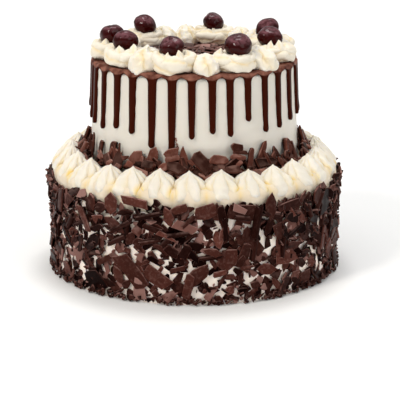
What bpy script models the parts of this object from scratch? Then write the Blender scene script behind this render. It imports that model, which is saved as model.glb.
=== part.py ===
"""Black forest gateau of two tiers, in metres, +Z up, standing on z = 0.

The lower tier is a drum of cake under cream, with shards of dark chocolate pressed into its side
and a border of piped cream shells on its rim. The upper tier stands in a ring of upright shards and
carries a chocolate glaze that has run down its side, a wreath of piped cream and eight cherries.
The origin is the centre of the flat base. Angles are measured from the front, -Y, towards +X.
"""

import bmesh
import bpy
import math
import random
from mathutils import Matrix, Vector

# Clear gap between neighbouring pieces, which touch on the real cake.
GAP = 0.0003

# Tiers: a 10 inch sponge below and a 7 inch sponge above, each under its coat of cream.
LOWER_RADIUS = 0.1285
LOWER_HEIGHT = 0.100
LOWER_EDGE = 0.007
LOWER_SIDES = 60
UPPER_FOOT_RADIUS = 0.0945
UPPER_SHOULDER_RADIUS = 0.0905
UPPER_SHOULDER = 0.0862
UPPER_HEIGHT = 0.0882
UPPER_ROUND_RADIUS = 0.0895
UPPER_ROUND_DROP = 0.0008
UPPER_TOP_RADIUS = 0.0876
UPPER_SIDES = 40
UPPER_BASE = LOWER_HEIGHT + GAP
UPPER_TOP = UPPER_BASE + UPPER_HEIGHT

# Glaze: a sheet over the top of the upper tier, with runs down its side.
GLAZE_THICKNESS = 0.0021
GLAZE_LIP = UPPER_BASE + UPPER_SHOULDER + 0.0004
GLAZE_TOP = UPPER_TOP + GAP + GLAZE_THICKNESS
RUN_WIDTH = 0.0054
RUN_THICKNESS = 0.0020
RUN_SEGMENTS = 5
# Down a run: (distance below its top or above its end, share of width, share of thickness)
RUN_HEAD = ((0.0, 2.9, 0.9), (0.0026, 1.45, 0.9), (0.0085, 1.0, 0.9))
RUN_TAIL = ((0.0034, 0.82, 1.0), (0.0008, 0.6, 0.8))
# The runs of the front, as (angle in degrees, height of the end); the rest are drawn.
FRONT_RUNS = (
    (-77.0, 0.1392), (-70.0, 0.1367), (-58.5, 0.1356), (-46.1, 0.1393), (-34.9, 0.1372),
    (-22.8, 0.1272), (-11.7, 0.1240), (-1.1, 0.1362), (9.9, 0.1405), (19.6, 0.1373),
    (30.2, 0.1490), (41.6, 0.1374), (52.6, 0.1382), (64.9, 0.1412), (78.5, 0.1422),
)
BACK_RUNS = 17
BACK_RUN_ENDS = (0.127, 0.149)

# Border on the lower tier's rim: star-tip dollops drawn in to a point, which press on each other.
SHELL_COUNT = 28
SHELL_TURN = math.radians(-1.7)
SHELL_RING = 0.1145
SHELL_HALF_WIDTH = 0.0134
SHELL_HALF_DEPTH = 0.0115
SHELL_OVERHANG = 0.0044
SHELL_DROP = 0.0084
SHELL_HEIGHT = 0.0138
SHELL_LEAN = 0.0026
SHELL_LOBES = 5

# Wreath on the glaze: rosettes that hold the cherries, and star dollops between them.
WREATH_RING = 0.0725
ROSETTE_RADIUS = 0.0176
ROSETTE_HEIGHT = 0.0153
ROSETTE_LOBES = 7
ROSETTE_TWIST = math.radians(34)
DOLLOP_HEIGHT = 0.0158
DOLLOP_LOBES = 5
DOLLOP_STRETCH = 1.15
# How much wider than its place a dollop is piped, before its neighbours flatten it
PRESS = 1.18
LOBE_DEPTH = 0.12
CHERRY_RADIUS = 0.0109
CHERRY_CENTRE = 0.0208
CHERRY_CLEARANCE = 0.0009
# (angle of the rosette, angle of its cherry, ring radius of its cherry)
ROSETTES = (
    (-140.0, -139.0, 0.0680),
    (-84.0, -85.0, 0.0735),
    (-53.5, -57.5, 0.0705),
    (-12.5, -15.9, 0.0696),
    (27.0, 30.8, 0.0740),
    (73.0, 76.5, 0.0690),
    (109.0, 109.1, 0.0706),
    (165.0, 165.2, 0.0695),
)
# (angle, radius)
DOLLOPS = (
    (-174.2, 0.0098),
    (-157.4, 0.0098),
    (-119.5, 0.0098),
    (-104.0, 0.0098),
    (-32.5, 0.0105),
    (7.2, 0.0105),
    (47.0, 0.0120),
    (91.0, 0.0085),
    (129.5, 0.0098),
    (145.5, 0.0098),
)

# Chocolate shards
SHARD_THICKNESS = 0.0019
SIDE_ROWS = 5
SIDE_SHARDS_PER_ROW = 19
SIDE_TOP = 0.0905
FOOT_SHARDS = 42
FOOT_CLEARANCE = 0.0006
FOOT_CORE_WIDTH = 0.0058
FOOT_CORE_HEIGHT = 0.0110
FOOT_SIDES = 36
# Outer limit of the upright shards, as (height above the tier, radius), clear of the border
FOOT_LIMIT = ((0.0, 0.1006), (0.0035, 0.1010), (0.0105, 0.1035), (0.0145, 0.1075), (0.05, 0.1085))
TOP_HEAP_RADIUS = 0.0475
TOP_HEAP_HEIGHT = 0.0034
TOP_SHARDS = 14

# Ring profiles as (share of radius, share of height), from the base up
SHELL_PROFILE = ((0.88, 0.0), (1.0, 0.24), (0.98, 0.52), (0.82, 0.74), (0.30, 0.91))
DOLLOP_PROFILE = ((0.86, 0.0), (1.0, 0.24), (0.94, 0.56), (0.66, 0.84), (0.24, 0.97))
ROSETTE_PROFILE = ((0.88, 0.0), (1.0, 0.26), (0.97, 0.58), (0.82, 0.86), (0.6, 1.0), (0.32, 0.72))
SEAT_LEVEL = 4

# Colours as linear RGB, with roughness
CREAM = ("cream", (0.84, 0.77, 0.62), 0.55)
SMOOTH_CREAM = ("smooth_cream", (0.78, 0.73, 0.64), 0.5)
CHOCOLATE = ("dark_chocolate", (0.045, 0.018, 0.012), 0.45)
GLAZE = ("chocolate_glaze", (0.05, 0.012, 0.004), 0.2)
CHERRY = ("cherry", (0.045, 0.004, 0.008), 0.15)


def clear_scene():
    """Remove whatever the open file holds."""
    for obj in list(bpy.data.objects):
        bpy.data.objects.remove(obj, do_unlink=True)


def make_collection(name):
    """A new collection linked to the scene."""
    collection = bpy.data.collections.new(name)
    bpy.context.scene.collection.children.link(collection)
    return collection


def material(finish):
    """The Principled material of this finish, made once."""
    name, colour, roughness = finish
    found = bpy.data.materials.get(name)
    if found:
        return found
    made = bpy.data.materials.new(name)
    made.use_nodes = True
    shader = made.node_tree.nodes["Principled BSDF"]
    shader.inputs["Base Color"].default_value = (*colour, 1.0)
    shader.inputs["Roughness"].default_value = roughness
    shader.inputs["Metallic"].default_value = 0.0
    made.diffuse_color = (*colour, 1.0)
    return made


def add_object(name, mesh, finish, collection):
    """An object of this mesh in a collection."""
    obj = bpy.data.objects.new(name, mesh)
    mesh.materials.append(material(finish))
    collection.objects.link(obj)
    return obj


def mesh_from(bm, name):
    """A mesh from a bmesh, which is then freed."""
    mesh = bpy.data.meshes.new(name)
    bm.to_mesh(mesh)
    bm.free()
    return mesh


def turned(name, profile, sides, finish, collection):
    """A solid of revolution about Z: the profile runs from the top of its outer side to the bottom."""
    mesh = bpy.data.meshes.new(name)
    points = [(radius, 0.0, height) for radius, height in profile]
    links = [(i, i + 1) for i in range(len(points) - 1)]
    mesh.from_pydata(points, links, [])
    obj = add_object(name, mesh, finish, collection)
    screw = obj.modifiers.new("Turn", "SCREW")
    screw.axis = "Z"
    screw.steps = screw.render_steps = sides
    screw.use_merge_vertices = True
    screw.merge_threshold = 0.00002
    screw.use_smooth_shade = False
    return obj


def boolean(obj, operation, collection):
    """Join the collection's objects to the object, or cut it by them, and apply that."""
    modifier = obj.modifiers.new(operation.title(), "BOOLEAN")
    modifier.operation = operation
    modifier.operand_type = "COLLECTION"
    modifier.collection = collection
    modifier.solver = "EXACT"
    apply_modifiers(obj)


def join(obj, collection):
    """Fuse the collection's objects to the object and remove them."""
    boolean(obj, "UNION", collection)
    for used in list(collection.objects):
        bpy.data.objects.remove(used, do_unlink=True)
    bpy.data.collections.remove(collection)


def apply_modifiers(obj):
    """Give the object its evaluated mesh, and drop all but its largest closed surface."""
    bpy.context.view_layer.update()
    graph = bpy.context.evaluated_depsgraph_get()
    mesh = bpy.data.meshes.new_from_object(obj.evaluated_get(graph))
    old = obj.data
    obj.modifiers.clear()
    obj.data = mesh
    bpy.data.meshes.remove(old)
    keep_largest_surface(mesh)


def keep_largest_surface(mesh):
    """Remove loose scraps and the inner walls of sealed hollows."""
    bm = bmesh.new()
    bm.from_mesh(mesh)
    bmesh.ops.remove_doubles(bm, verts=bm.verts, dist=0.000004)
    bmesh.ops.dissolve_degenerate(bm, edges=bm.edges, dist=0.000004)
    left = set(bm.faces)
    surfaces = []
    while left:
        surface, border = set(), [left.pop()]
        while border:
            face = border.pop()
            surface.add(face)
            for edge in face.edges:
                near = [other for other in edge.link_faces if other in left]
                left.difference_update(near)
                border.extend(near)
        surfaces.append(surface)
    surfaces.sort(key=lambda surface: sum(face.calc_area() for face in surface))
    scraps = [face for surface in surfaces[:-1] for face in surface]
    bmesh.ops.delete(bm, geom=scraps, context="FACES")
    bm.to_mesh(mesh)
    bm.free()


def around(angle, radius, height):
    """The point at an angle from the front, in radians, at a radius and a height."""
    return Vector((radius * math.sin(angle), -radius * math.cos(angle), height))


def standing_frame(angle, radius, height):
    """Axes on the cake at an angle: X along the side, Y inwards, Z up."""
    return Matrix.Translation(around(angle, radius, height)) @ Matrix.Rotation(angle, 4, "Z")


def along(table, height):
    """The value of a table of (height, value) at a height, straight between its rows."""
    for (low, first), (high, second) in zip(table, table[1:]):
        if height <= high:
            share = max(0.0, (height - low) / (high - low))
            return first + share * (second - first)
    return table[-1][1]


def blob(lobes, profile, shape):
    """A fluted blob: the rings of a UV sphere are moved to shape(corner angle, flute, ring). The poles
    are the rings before the first and after the last."""
    bm = bmesh.new()
    rings = len(profile)
    bmesh.ops.create_uvsphere(bm, u_segments=2 * lobes, v_segments=rings + 1, radius=1.0)
    for vertex in bm.verts:
        polar = math.acos(max(-1.0, min(1.0, -vertex.co.z)))
        ring = round(polar / math.pi * (rings + 1)) - 1
        corner = math.atan2(vertex.co.y, vertex.co.x)
        flute = 1 + LOBE_DEPTH * math.cos(lobes * (corner - 0.5 * math.pi))
        vertex.co = shape(corner, flute, ring)
    bmesh.ops.triangulate(bm, faces=bm.faces)
    return bm


def keep_in_wedge(bm, centre_angle, low, high):
    """Flatten what reaches past two upright planes through the axis, where the neighbours press."""
    for vertex in bm.verts:
        radius = math.hypot(vertex.co.x, vertex.co.y)
        margin = 0.5 * GAP / radius
        angle = math.atan2(vertex.co.x, -vertex.co.y) - centre_angle
        angle = (angle + math.pi) % (2 * math.pi) - math.pi
        kept = max(low + margin, min(high - margin, angle))
        if kept != angle:
            vertex.co = around(centre_angle + kept, radius, vertex.co.z)


def shard(name, place, length, width, draw, collection, keep):
    """A flake of broken chocolate: a flat prism of four or five uneven corners, kept where it may be."""
    corners = draw.choice((4, 4, 5))
    bm = bmesh.new()
    bmesh.ops.create_cone(
        bm, cap_ends=True, segments=corners, radius1=0.66, radius2=0.66, depth=SHARD_THICKNESS
    )
    reach = [draw.uniform(0.74, 1.12) for _ in range(corners)]
    for vertex in bm.verts:
        turn = math.atan2(vertex.co.x, vertex.co.y) / (2 * math.pi) * corners
        share = reach[round(turn) % corners]
        vertex.co.rotate(Matrix.Rotation(math.pi / corners, 3, "Z"))
        vertex.co.x *= share * length
        vertex.co.y *= share * width
    bm.transform(place)
    keep(bm)
    bmesh.ops.triangulate(bm, faces=bm.faces)
    bmesh.ops.recalc_face_normals(bm, faces=bm.faces)
    return add_object(name, mesh_from(bm, name), CHOCOLATE, collection)


def shift_into(bm, lowest, highest):
    """Lift or lower a shard so that its corners stay between two heights."""
    heights = [vertex.co.z for vertex in bm.verts]
    rise = max(0.0, lowest - min(heights))
    fall = max(0.0, max(heights) + rise - highest)
    bmesh.ops.translate(bm, verts=bm.verts, vec=(0, 0, rise - fall))


def drum_profile(radius, top, bottom):
    """The outline of the lower tier's drum, or of one a little larger, with its rounded rim."""
    edge = LOWER_EDGE
    return (
        (0.0, top),
        (radius - edge, top),
        (radius - 0.29 * edge, top - 0.29 * edge),
        (radius, top - edge),
        (radius, bottom),
        (0.0, bottom),
    )


def make_lower_tier(cake):
    """The drum of the lower tier, with the largest shards of its chocolate coat fused on."""
    profile = drum_profile(LOWER_RADIUS, LOWER_HEIGHT, 0.0)
    drum = turned("lower_tier", profile, LOWER_SIDES, SMOOTH_CREAM, cake)
    shards = make_collection("side_shards")
    draw = random.Random(11)
    pitch = 2 * math.pi / SIDE_SHARDS_PER_ROW
    row_height = SIDE_TOP / SIDE_ROWS
    for row in range(SIDE_ROWS):
        for column in range(SIDE_SHARDS_PER_ROW):
            angle = (column + 0.5 * (row % 2) + draw.uniform(-0.26, 0.26)) * pitch
            height = (row + 0.5 + draw.uniform(-0.2, 0.2)) * row_height
            place = (
                standing_frame(angle, LOWER_RADIUS + draw.uniform(0.0012, 0.0024), height)
                @ Matrix.Rotation(math.radians(90 + draw.uniform(-14, 14)), 4, "X")
                @ Matrix.Rotation(draw.uniform(0, math.pi), 4, "Z")
                @ Matrix.Rotation(math.radians(draw.uniform(-14, 14)), 4, "Y")
            )
            length = draw.uniform(0.016, 0.026)
            width = draw.uniform(0.008, 0.013)

            def keep(bm):
                shift_into(bm, 0.0008, SIDE_TOP)

            shard("side_shard", place, length, width, draw, shards, keep)
    join(drum, shards)


def make_upper_tier(cake):
    """The plain drum of the upper tier, a little narrower at its shoulder than at its foot."""
    profile = (
        (0.0, UPPER_TOP),
        (UPPER_TOP_RADIUS, UPPER_TOP),
        (UPPER_ROUND_RADIUS, UPPER_TOP - UPPER_ROUND_DROP),
        (UPPER_SHOULDER_RADIUS, UPPER_BASE + UPPER_SHOULDER),
        (UPPER_FOOT_RADIUS, UPPER_BASE),
        (0.0, UPPER_BASE),
    )
    turned("upper_tier", profile, UPPER_SIDES, SMOOTH_CREAM, cake)


def upper_wall_radius(height):
    """The radius of the upper tier's side at a height."""
    share = (height - UPPER_BASE) / UPPER_SHOULDER
    return UPPER_FOOT_RADIUS + share * (UPPER_SHOULDER_RADIUS - UPPER_FOOT_RADIUS)


def glaze_runs():
    """[(angle, height of the end, width)] of all runs: those of the front, then the drawn ones."""
    draw = random.Random(5)
    runs = [(math.radians(angle), end) for angle, end in FRONT_RUNS]
    first, last = runs[-1][0], runs[0][0] + 2 * math.pi
    for i in range(1, BACK_RUNS + 1):
        place = (i + draw.uniform(-0.12, 0.12)) / (BACK_RUNS + 1)
        runs.append((first + place * (last - first), draw.triangular(*BACK_RUN_ENDS, 0.138)))
    return [(angle, end, RUN_WIDTH * draw.uniform(0.9, 1.08)) for angle, end in runs]


def glaze_run(name, angle, end, width, collection):
    """One run of glaze: a flat-backed bar on the side, wide where it leaves the sheet, round at its end."""
    top = GLAZE_LIP + 0.0012
    stations = [(top - down, wide, thick) for down, wide, thick in RUN_HEAD]
    stations += [(end + up, wide, thick) for up, wide, thick in RUN_TAIL]
    count = len(stations)
    turn = math.radians(90 - 180 / RUN_SEGMENTS)
    bm = bmesh.new()
    bmesh.ops.create_uvsphere(bm, u_segments=RUN_SEGMENTS, v_segments=count + 1, radius=1.0)
    for vertex in bm.verts:
        polar = math.acos(max(-1.0, min(1.0, vertex.co.z)))
        station = round(polar / math.pi * (count + 1)) - 1
        if station < 0:
            height, wide, thick = top + 0.0004, 0.0, 0.4
        elif station >= count:
            height, wide, thick = end, 0.0, 0.4
        else:
            height, wide, thick = stations[station]
        corner = math.atan2(vertex.co.y, vertex.co.x) - turn
        across = 0.5 * width * wide * math.cos(corner)
        depth = RUN_THICKNESS * thick * (0.5 + 0.5 * math.sin(corner))
        radius = upper_wall_radius(height) + GAP + depth
        vertex.co = around(angle + across / radius, radius, height)
    bmesh.ops.triangulate(bm, faces=bm.faces)
    bmesh.ops.recalc_face_normals(bm, faces=bm.faces)
    return add_object(name, mesh_from(bm, name), GLAZE, collection)


def make_glaze(cake):
    """The sheet of glaze over the upper tier, with its runs."""
    inner = upper_wall_radius(GLAZE_LIP) + GAP
    outer = inner + RUN_THICKNESS
    under = UPPER_TOP + GAP
    profile = (
        (0.0, GLAZE_TOP),
        (UPPER_TOP_RADIUS + 0.0008, GLAZE_TOP),
        (outer - 0.0007, GLAZE_TOP - 0.0011),
        (outer, GLAZE_LIP + 0.0008),
        (inner, GLAZE_LIP),
        (UPPER_ROUND_RADIUS + GAP, under - UPPER_ROUND_DROP),
        (UPPER_TOP_RADIUS, under),
        (0.0, under),
    )
    sheet = turned("glaze", profile, UPPER_SIDES, GLAZE, cake)
    runs = make_collection("runs")
    for angle, end, width in glaze_runs():
        glaze_run("run", angle, end, width, runs)
    join(sheet, runs)


def make_shells(cake):
    """The border: dollops drawn in to a point, which press on each other and hang over the rim."""
    cutters = make_collection("cutters")
    profile = drum_profile(LOWER_RADIUS + GAP, LOWER_HEIGHT + GAP, 0.5 * LOWER_HEIGHT)
    cutter = turned("drum_cutter", profile, LOWER_SIDES, CREAM, cutters)
    cutter.hide_render = True
    cutter.display_type = "WIRE"
    draw = random.Random(3)
    half = math.pi / SHELL_COUNT
    for i in range(SHELL_COUNT):
        angle = SHELL_TURN + 2 * half * i
        tall = draw.uniform(0.93, 1.07)
        lean = draw.uniform(-0.0018, 0.0018)
        turn = draw.uniform(-0.2, 0.2)

        def shape(corner, flute, ring):
            """A point of the shell in its own frame: X along the border, Y inwards, Z up."""
            if ring < 0:
                share, rise = 0.0, 0.0
            elif ring == len(SHELL_PROFILE):
                share, rise = 0.0, 1.0
            else:
                share, rise = SHELL_PROFILE[ring]
            x = SHELL_HALF_WIDTH * share * flute * math.cos(corner + turn)
            y = SHELL_HALF_DEPTH * share * flute * math.sin(corner + turn)
            outward = max(0.0, -y / SHELL_HALF_DEPTH)
            y -= SHELL_OVERHANG * outward * (1 - rise)
            z = rise * (SHELL_HEIGHT * tall + SHELL_DROP) - SHELL_DROP
            return Vector((x + lean * rise**2, y + SHELL_LEAN * rise**2, z))

        bm = blob(SHELL_LOBES, SHELL_PROFILE, shape)
        bm.transform(standing_frame(angle, SHELL_RING, LOWER_HEIGHT))
        keep_in_wedge(bm, angle, -half, half)
        name = f"border_shell_{i + 1:02d}"
        piece = add_object(name, mesh_from(bm, name), CREAM, cake)
        boolean(piece, "DIFFERENCE", cutters)


def wreath_limits():
    """{centre angle: (low, high)}: how far each blob of the wreath goes before it meets the next."""
    ring = [(math.radians(angle), ROSETTE_RADIUS) for angle, _, _ in ROSETTES]
    ring += [(math.radians(angle), radius) for angle, radius in DOLLOPS]
    ring.sort()
    limits = {}
    for i, (angle, radius) in enumerate(ring):
        before, radius_before = ring[i - 1]
        after, radius_after = ring[(i + 1) % len(ring)]
        gap_before = (angle - before) % (2 * math.pi)
        gap_after = (after - angle) % (2 * math.pi)
        low = -gap_before * radius / (radius + radius_before)
        high = gap_after * radius / (radius + radius_after)
        limits[angle] = (low, high)
    return limits


def make_rosettes(cake, limits):
    """Swirled rosettes, each with a round seat that its cherry has pressed into its top."""
    draw = random.Random(8)
    seat = CHERRY_RADIUS + CHERRY_CLEARANCE
    for i, (degrees, cherry_degrees, cherry_ring) in enumerate(ROSETTES):
        angle = math.radians(degrees)
        aside = math.radians(cherry_degrees - degrees)
        shift = Vector((cherry_ring * math.sin(aside), WREATH_RING - cherry_ring * math.cos(aside)))
        turn = draw.uniform(-0.3, 0.3)

        def shape(corner, flute, ring):
            """A point of the rosette in its own frame: X along the wreath, Y inwards, Z up."""
            if ring < 0:
                share, rise = 0.0, 0.0
            elif ring == len(ROSETTE_PROFILE):
                share, rise = 0.0, 1.0
            else:
                share, rise = ROSETTE_PROFILE[ring]
            direction = corner + turn + ROSETTE_TWIST * rise
            reach = ROSETTE_RADIUS * share
            z = rise * ROSETTE_HEIGHT
            follow = 0.0 if ring < SEAT_LEVEL - 1 else 0.6
            if ring < SEAT_LEVEL:
                reach *= flute
            else:
                follow = 1.0
                z = CHERRY_CENTRE - math.sqrt(seat**2 - reach**2)
            x = reach * math.cos(direction) + follow * shift.x
            y = reach * math.sin(direction) + follow * shift.y
            return Vector((x, y, z))

        bm = blob(ROSETTE_LOBES, ROSETTE_PROFILE, shape)
        bm.transform(standing_frame(angle, WREATH_RING, GLAZE_TOP + GAP))
        keep_in_wedge(bm, angle, *limits[angle])
        name = f"rosette_{i + 1}"
        add_object(name, mesh_from(bm, name), CREAM, cake)


def make_dollops(cake, limits):
    """Star dollops that fill the wreath between the rosettes."""
    draw = random.Random(9)
    for i, (degrees, radius) in enumerate(DOLLOPS):
        angle = math.radians(degrees)
        turn = draw.uniform(-0.25, 0.25)
        height = DOLLOP_HEIGHT * draw.uniform(0.94, 1.06)

        def shape(corner, flute, ring):
            """A point of the dollop in its own frame: X along the wreath, Y inwards, Z up."""
            if ring < 0:
                share, rise = 0.0, 0.0
            elif ring == len(DOLLOP_PROFILE):
                share, rise = 0.0, 1.0
            else:
                share, rise = DOLLOP_PROFILE[ring]
            reach = PRESS * radius * share * flute
            x = reach * math.cos(corner + turn)
            y = DOLLOP_STRETCH * reach * math.sin(corner + turn)
            return Vector((x, y, rise * height))

        bm = blob(DOLLOP_LOBES, DOLLOP_PROFILE, shape)
        bm.transform(standing_frame(angle, WREATH_RING, GLAZE_TOP + GAP))
        keep_in_wedge(bm, angle, *limits[angle])
        name = f"dollop_{i + 1:02d}"
        add_object(name, mesh_from(bm, name), CREAM, cake)


def make_cherries(cake):
    """Stoned dark cherries, each a little flat, with the dimple of its stalk turned its own way."""
    draw = random.Random(2)
    for i, (_, degrees, ring) in enumerate(ROSETTES):
        bm = bmesh.new()
        bmesh.ops.create_uvsphere(bm, u_segments=10, v_segments=6, radius=1.0)
        for vertex in bm.verts:
            dimple = max(0.0, vertex.co.z - 0.9) * 2.6
            vertex.co *= 1 - dimple
            vertex.co.z *= 0.93
        bm.transform(Matrix.Scale(CHERRY_RADIUS, 4))
        bm.transform(Matrix.Rotation(draw.uniform(0.7, 1.6), 4, "X"))
        bm.transform(Matrix.Rotation(draw.uniform(0, 2 * math.pi), 4, "Z"))
        centre = GLAZE_TOP + GAP + CHERRY_CENTRE
        bm.transform(standing_frame(math.radians(degrees), ring, centre))
        name = f"cherry_{i + 1}"
        cherry = add_object(name, mesh_from(bm, name), CHERRY, cake)
        cherry.data.shade_smooth()


def make_foot_shards(cake):
    """The ring of upright shards round the foot of the upper tier, on a low core."""
    inner = UPPER_FOOT_RADIUS + FOOT_CLEARANCE
    base = LOWER_HEIGHT + GAP
    profile = (
        (inner, base + FOOT_CORE_HEIGHT),
        (inner + 0.45 * FOOT_CORE_WIDTH, base + 0.75 * FOOT_CORE_HEIGHT),
        (inner + FOOT_CORE_WIDTH, base + 0.001),
        (inner + FOOT_CORE_WIDTH, base),
        (inner, base),
        (inner, base + FOOT_CORE_HEIGHT),
    )
    core = turned("foot_shavings", profile, FOOT_SIDES, CHOCOLATE, cake)
    shards = make_collection("foot_shards")
    draw = random.Random(21)
    runs_start = UPPER_BASE + 0.0205

    def keep(bm):
        """Hold the corners between the upper tier with its runs, the shelf and the border."""
        shift_into(bm, base + 0.0008, 1.0)
        for vertex in bm.verts:
            radius = math.hypot(vertex.co.x, vertex.co.y)
            nearest = inner + (RUN_THICKNESS if vertex.co.z > runs_start else 0.0)
            furthest = along(FOOT_LIMIT, vertex.co.z - LOWER_HEIGHT)
            kept = max(nearest, min(furthest, radius))
            vertex.co.x *= kept / radius
            vertex.co.y *= kept / radius

    for i in range(FOOT_SHARDS):
        angle = 2 * math.pi * (i + draw.uniform(-0.25, 0.25)) / FOOT_SHARDS
        length = draw.uniform(0.015, 0.024)
        width = draw.uniform(0.008, 0.012)
        place = (
            standing_frame(angle, inner + draw.uniform(0.003, 0.0045), base + draw.uniform(0.009, 0.015))
            @ Matrix.Rotation(math.radians(90 - draw.uniform(0, 16)), 4, "X")
            @ Matrix.Rotation(math.radians(90 + draw.uniform(-50, 50)), 4, "Z")
        )
        shard("foot_shard", place, length, width, draw, shards, keep)
    join(core, shards)


def make_top_shavings(cake):
    """The low heap of shards in the middle of the wreath."""
    base = GLAZE_TOP + GAP
    profile = (
        (0.0, base + TOP_HEAP_HEIGHT),
        (0.6 * TOP_HEAP_RADIUS, base + 0.8 * TOP_HEAP_HEIGHT),
        (TOP_HEAP_RADIUS, base + 0.0004),
        (TOP_HEAP_RADIUS, base),
        (0.0, base),
    )
    heap = turned("top_shavings", profile, 24, CHOCOLATE, cake)
    shards = make_collection("top_shards")
    draw = random.Random(31)
    golden = math.pi * (3 - math.sqrt(5))

    def keep(bm):
        shift_into(bm, base + 0.0006, base + 0.0095)

    for i in range(TOP_SHARDS):
        radius = 0.86 * TOP_HEAP_RADIUS * math.sqrt((i + 0.5) / TOP_SHARDS)
        place = (
            standing_frame(i * golden, radius, base + draw.uniform(0.0032, 0.0046))
            @ Matrix.Rotation(draw.uniform(0, math.pi), 4, "Z")
            @ Matrix.Rotation(math.radians(draw.uniform(8, 24)), 4, "X")
        )
        length = draw.uniform(0.011, 0.017)
        shard("top_shard", place, length, 0.55 * length, draw, shards, keep)
    join(heap, shards)


def main():
    clear_scene()
    cake = make_collection("black_forest_gateau")
    make_lower_tier(cake)
    make_upper_tier(cake)
    make_glaze(cake)
    make_shells(cake)
    limits = wreath_limits()
    make_rosettes(cake, limits)
    make_dollops(cake, limits)
    make_cherries(cake)
    make_foot_shards(cake)
    make_top_shavings(cake)


main()
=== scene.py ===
# %% [markdown]
# # A black forest gateau in two tiers
# A black forest gateau is chocolate sponge under whipped cream, with cherries and dark chocolate.
# This one has two tiers. The lower is coated with broken shavings under a border of piped dollops.
# The upper is scraped smooth, glazed with running chocolate and crowned with a wreath of cream and
# eight cherries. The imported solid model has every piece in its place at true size. This lesson keeps
# those places and builds what a plain solid can't show: the folds of piped cream, thousands of loose
# flakes, and the finish of each surface. The first cell opens the solid model, so that each new
# piece can ride on it.

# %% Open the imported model
import math
import random

import bpy
import numpy as np
from mathutils import Matrix, Vector


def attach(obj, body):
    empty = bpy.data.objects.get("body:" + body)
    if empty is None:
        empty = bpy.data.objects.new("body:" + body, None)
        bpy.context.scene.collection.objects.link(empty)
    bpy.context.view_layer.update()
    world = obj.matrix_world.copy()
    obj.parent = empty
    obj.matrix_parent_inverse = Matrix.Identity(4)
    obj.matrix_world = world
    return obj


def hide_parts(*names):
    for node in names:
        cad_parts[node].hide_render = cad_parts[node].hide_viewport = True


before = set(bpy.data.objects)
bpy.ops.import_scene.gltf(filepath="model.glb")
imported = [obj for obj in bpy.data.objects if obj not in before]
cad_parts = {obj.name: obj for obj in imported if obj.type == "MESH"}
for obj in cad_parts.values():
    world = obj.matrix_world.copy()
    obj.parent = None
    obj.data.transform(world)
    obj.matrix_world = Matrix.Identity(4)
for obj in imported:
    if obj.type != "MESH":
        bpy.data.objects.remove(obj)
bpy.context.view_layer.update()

# %% [markdown]
# ## Camera
# A long lens from a little above the top of the cake shows both tiers' fronts and just enough of the
# wreath's far side. The camera stands 1.32 m away, 430 mm above the table, and looks 15.8 degrees
# down. A long lens was chosen because a short one would make the lower tier bulge.

# %% Camera
CAMERA_PLACE, CAMERA_LOOKS_DOWN, LENS_LENGTH = (0.0052, -1.3187, 0.4296), 15.80, 133.5
camera_data = bpy.data.cameras.new("camera")
camera_data.sensor_width = 36
camera_data.lens = LENS_LENGTH
camera = bpy.data.objects.new("camera", camera_data)
camera.location = CAMERA_PLACE
camera.rotation_euler = (math.radians(90 - CAMERA_LOOKS_DOWN), 0, 0)
bpy.context.collection.objects.link(camera)
bpy.context.scene.camera = camera
print("camera at", [round(value, 3) for value in camera.location])

# %% [markdown]
# ## Colours and nodes
# Colours are written as they are picked on a screen, in sRGB hex. Shaders work in linear light, so
# one function turns them. A second small function adds a node with its settings and its links,
# which is all that the materials below need.

# %% Colours and nodes
def linear(colour):
    """An sRGB hex colour as linear red, green, blue and alpha."""
    parts = [int(colour[i:i + 2], 16) / 255 for i in (1, 3, 5)]
    return [p / 12.92 if p <= 0.04045 else ((p + 0.055) / 1.055) ** 2.4 for p in parts] + [1.0]


def add(tree, kind, inputs=None, **settings):
    """Add a node. Each input is a value, or the output that feeds it."""
    node = tree.nodes.new(kind)
    for name, value in settings.items():
        setattr(node, name, value)
    for socket, value in (inputs or {}).items():
        if isinstance(value, bpy.types.NodeSocket):
            tree.links.new(value, node.inputs[socket])
        else:
            node.inputs[socket].default_value = value
    return node


def new_material(name):
    """An empty material with its node tree and its output node."""
    material = bpy.data.materials.new(name)
    material.use_nodes = True
    material.node_tree.nodes.clear()
    return material, material.node_tree, add(material.node_tree, "ShaderNodeOutputMaterial")


print("white is", linear("#FFFFFF"))

# %% [markdown]
# ## Light
# Food is photographed in soft light, so that cream keeps its form without hard shadows. A pale sky,
# brighter overhead than at the horizon, gives most of it. One soft lamp from the upper left front
# models the folds, a weaker and wider one from the right opens the shadows, and a third, high above,
# brightens the wreath. A sky alone would be simpler, but it lights every fold alike and flattens it.

# %% Light
SKY_AT_HORIZON, SKY_OVERHEAD = 0.38, 0.68
AIM = (0, 0, 0.1)
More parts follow.
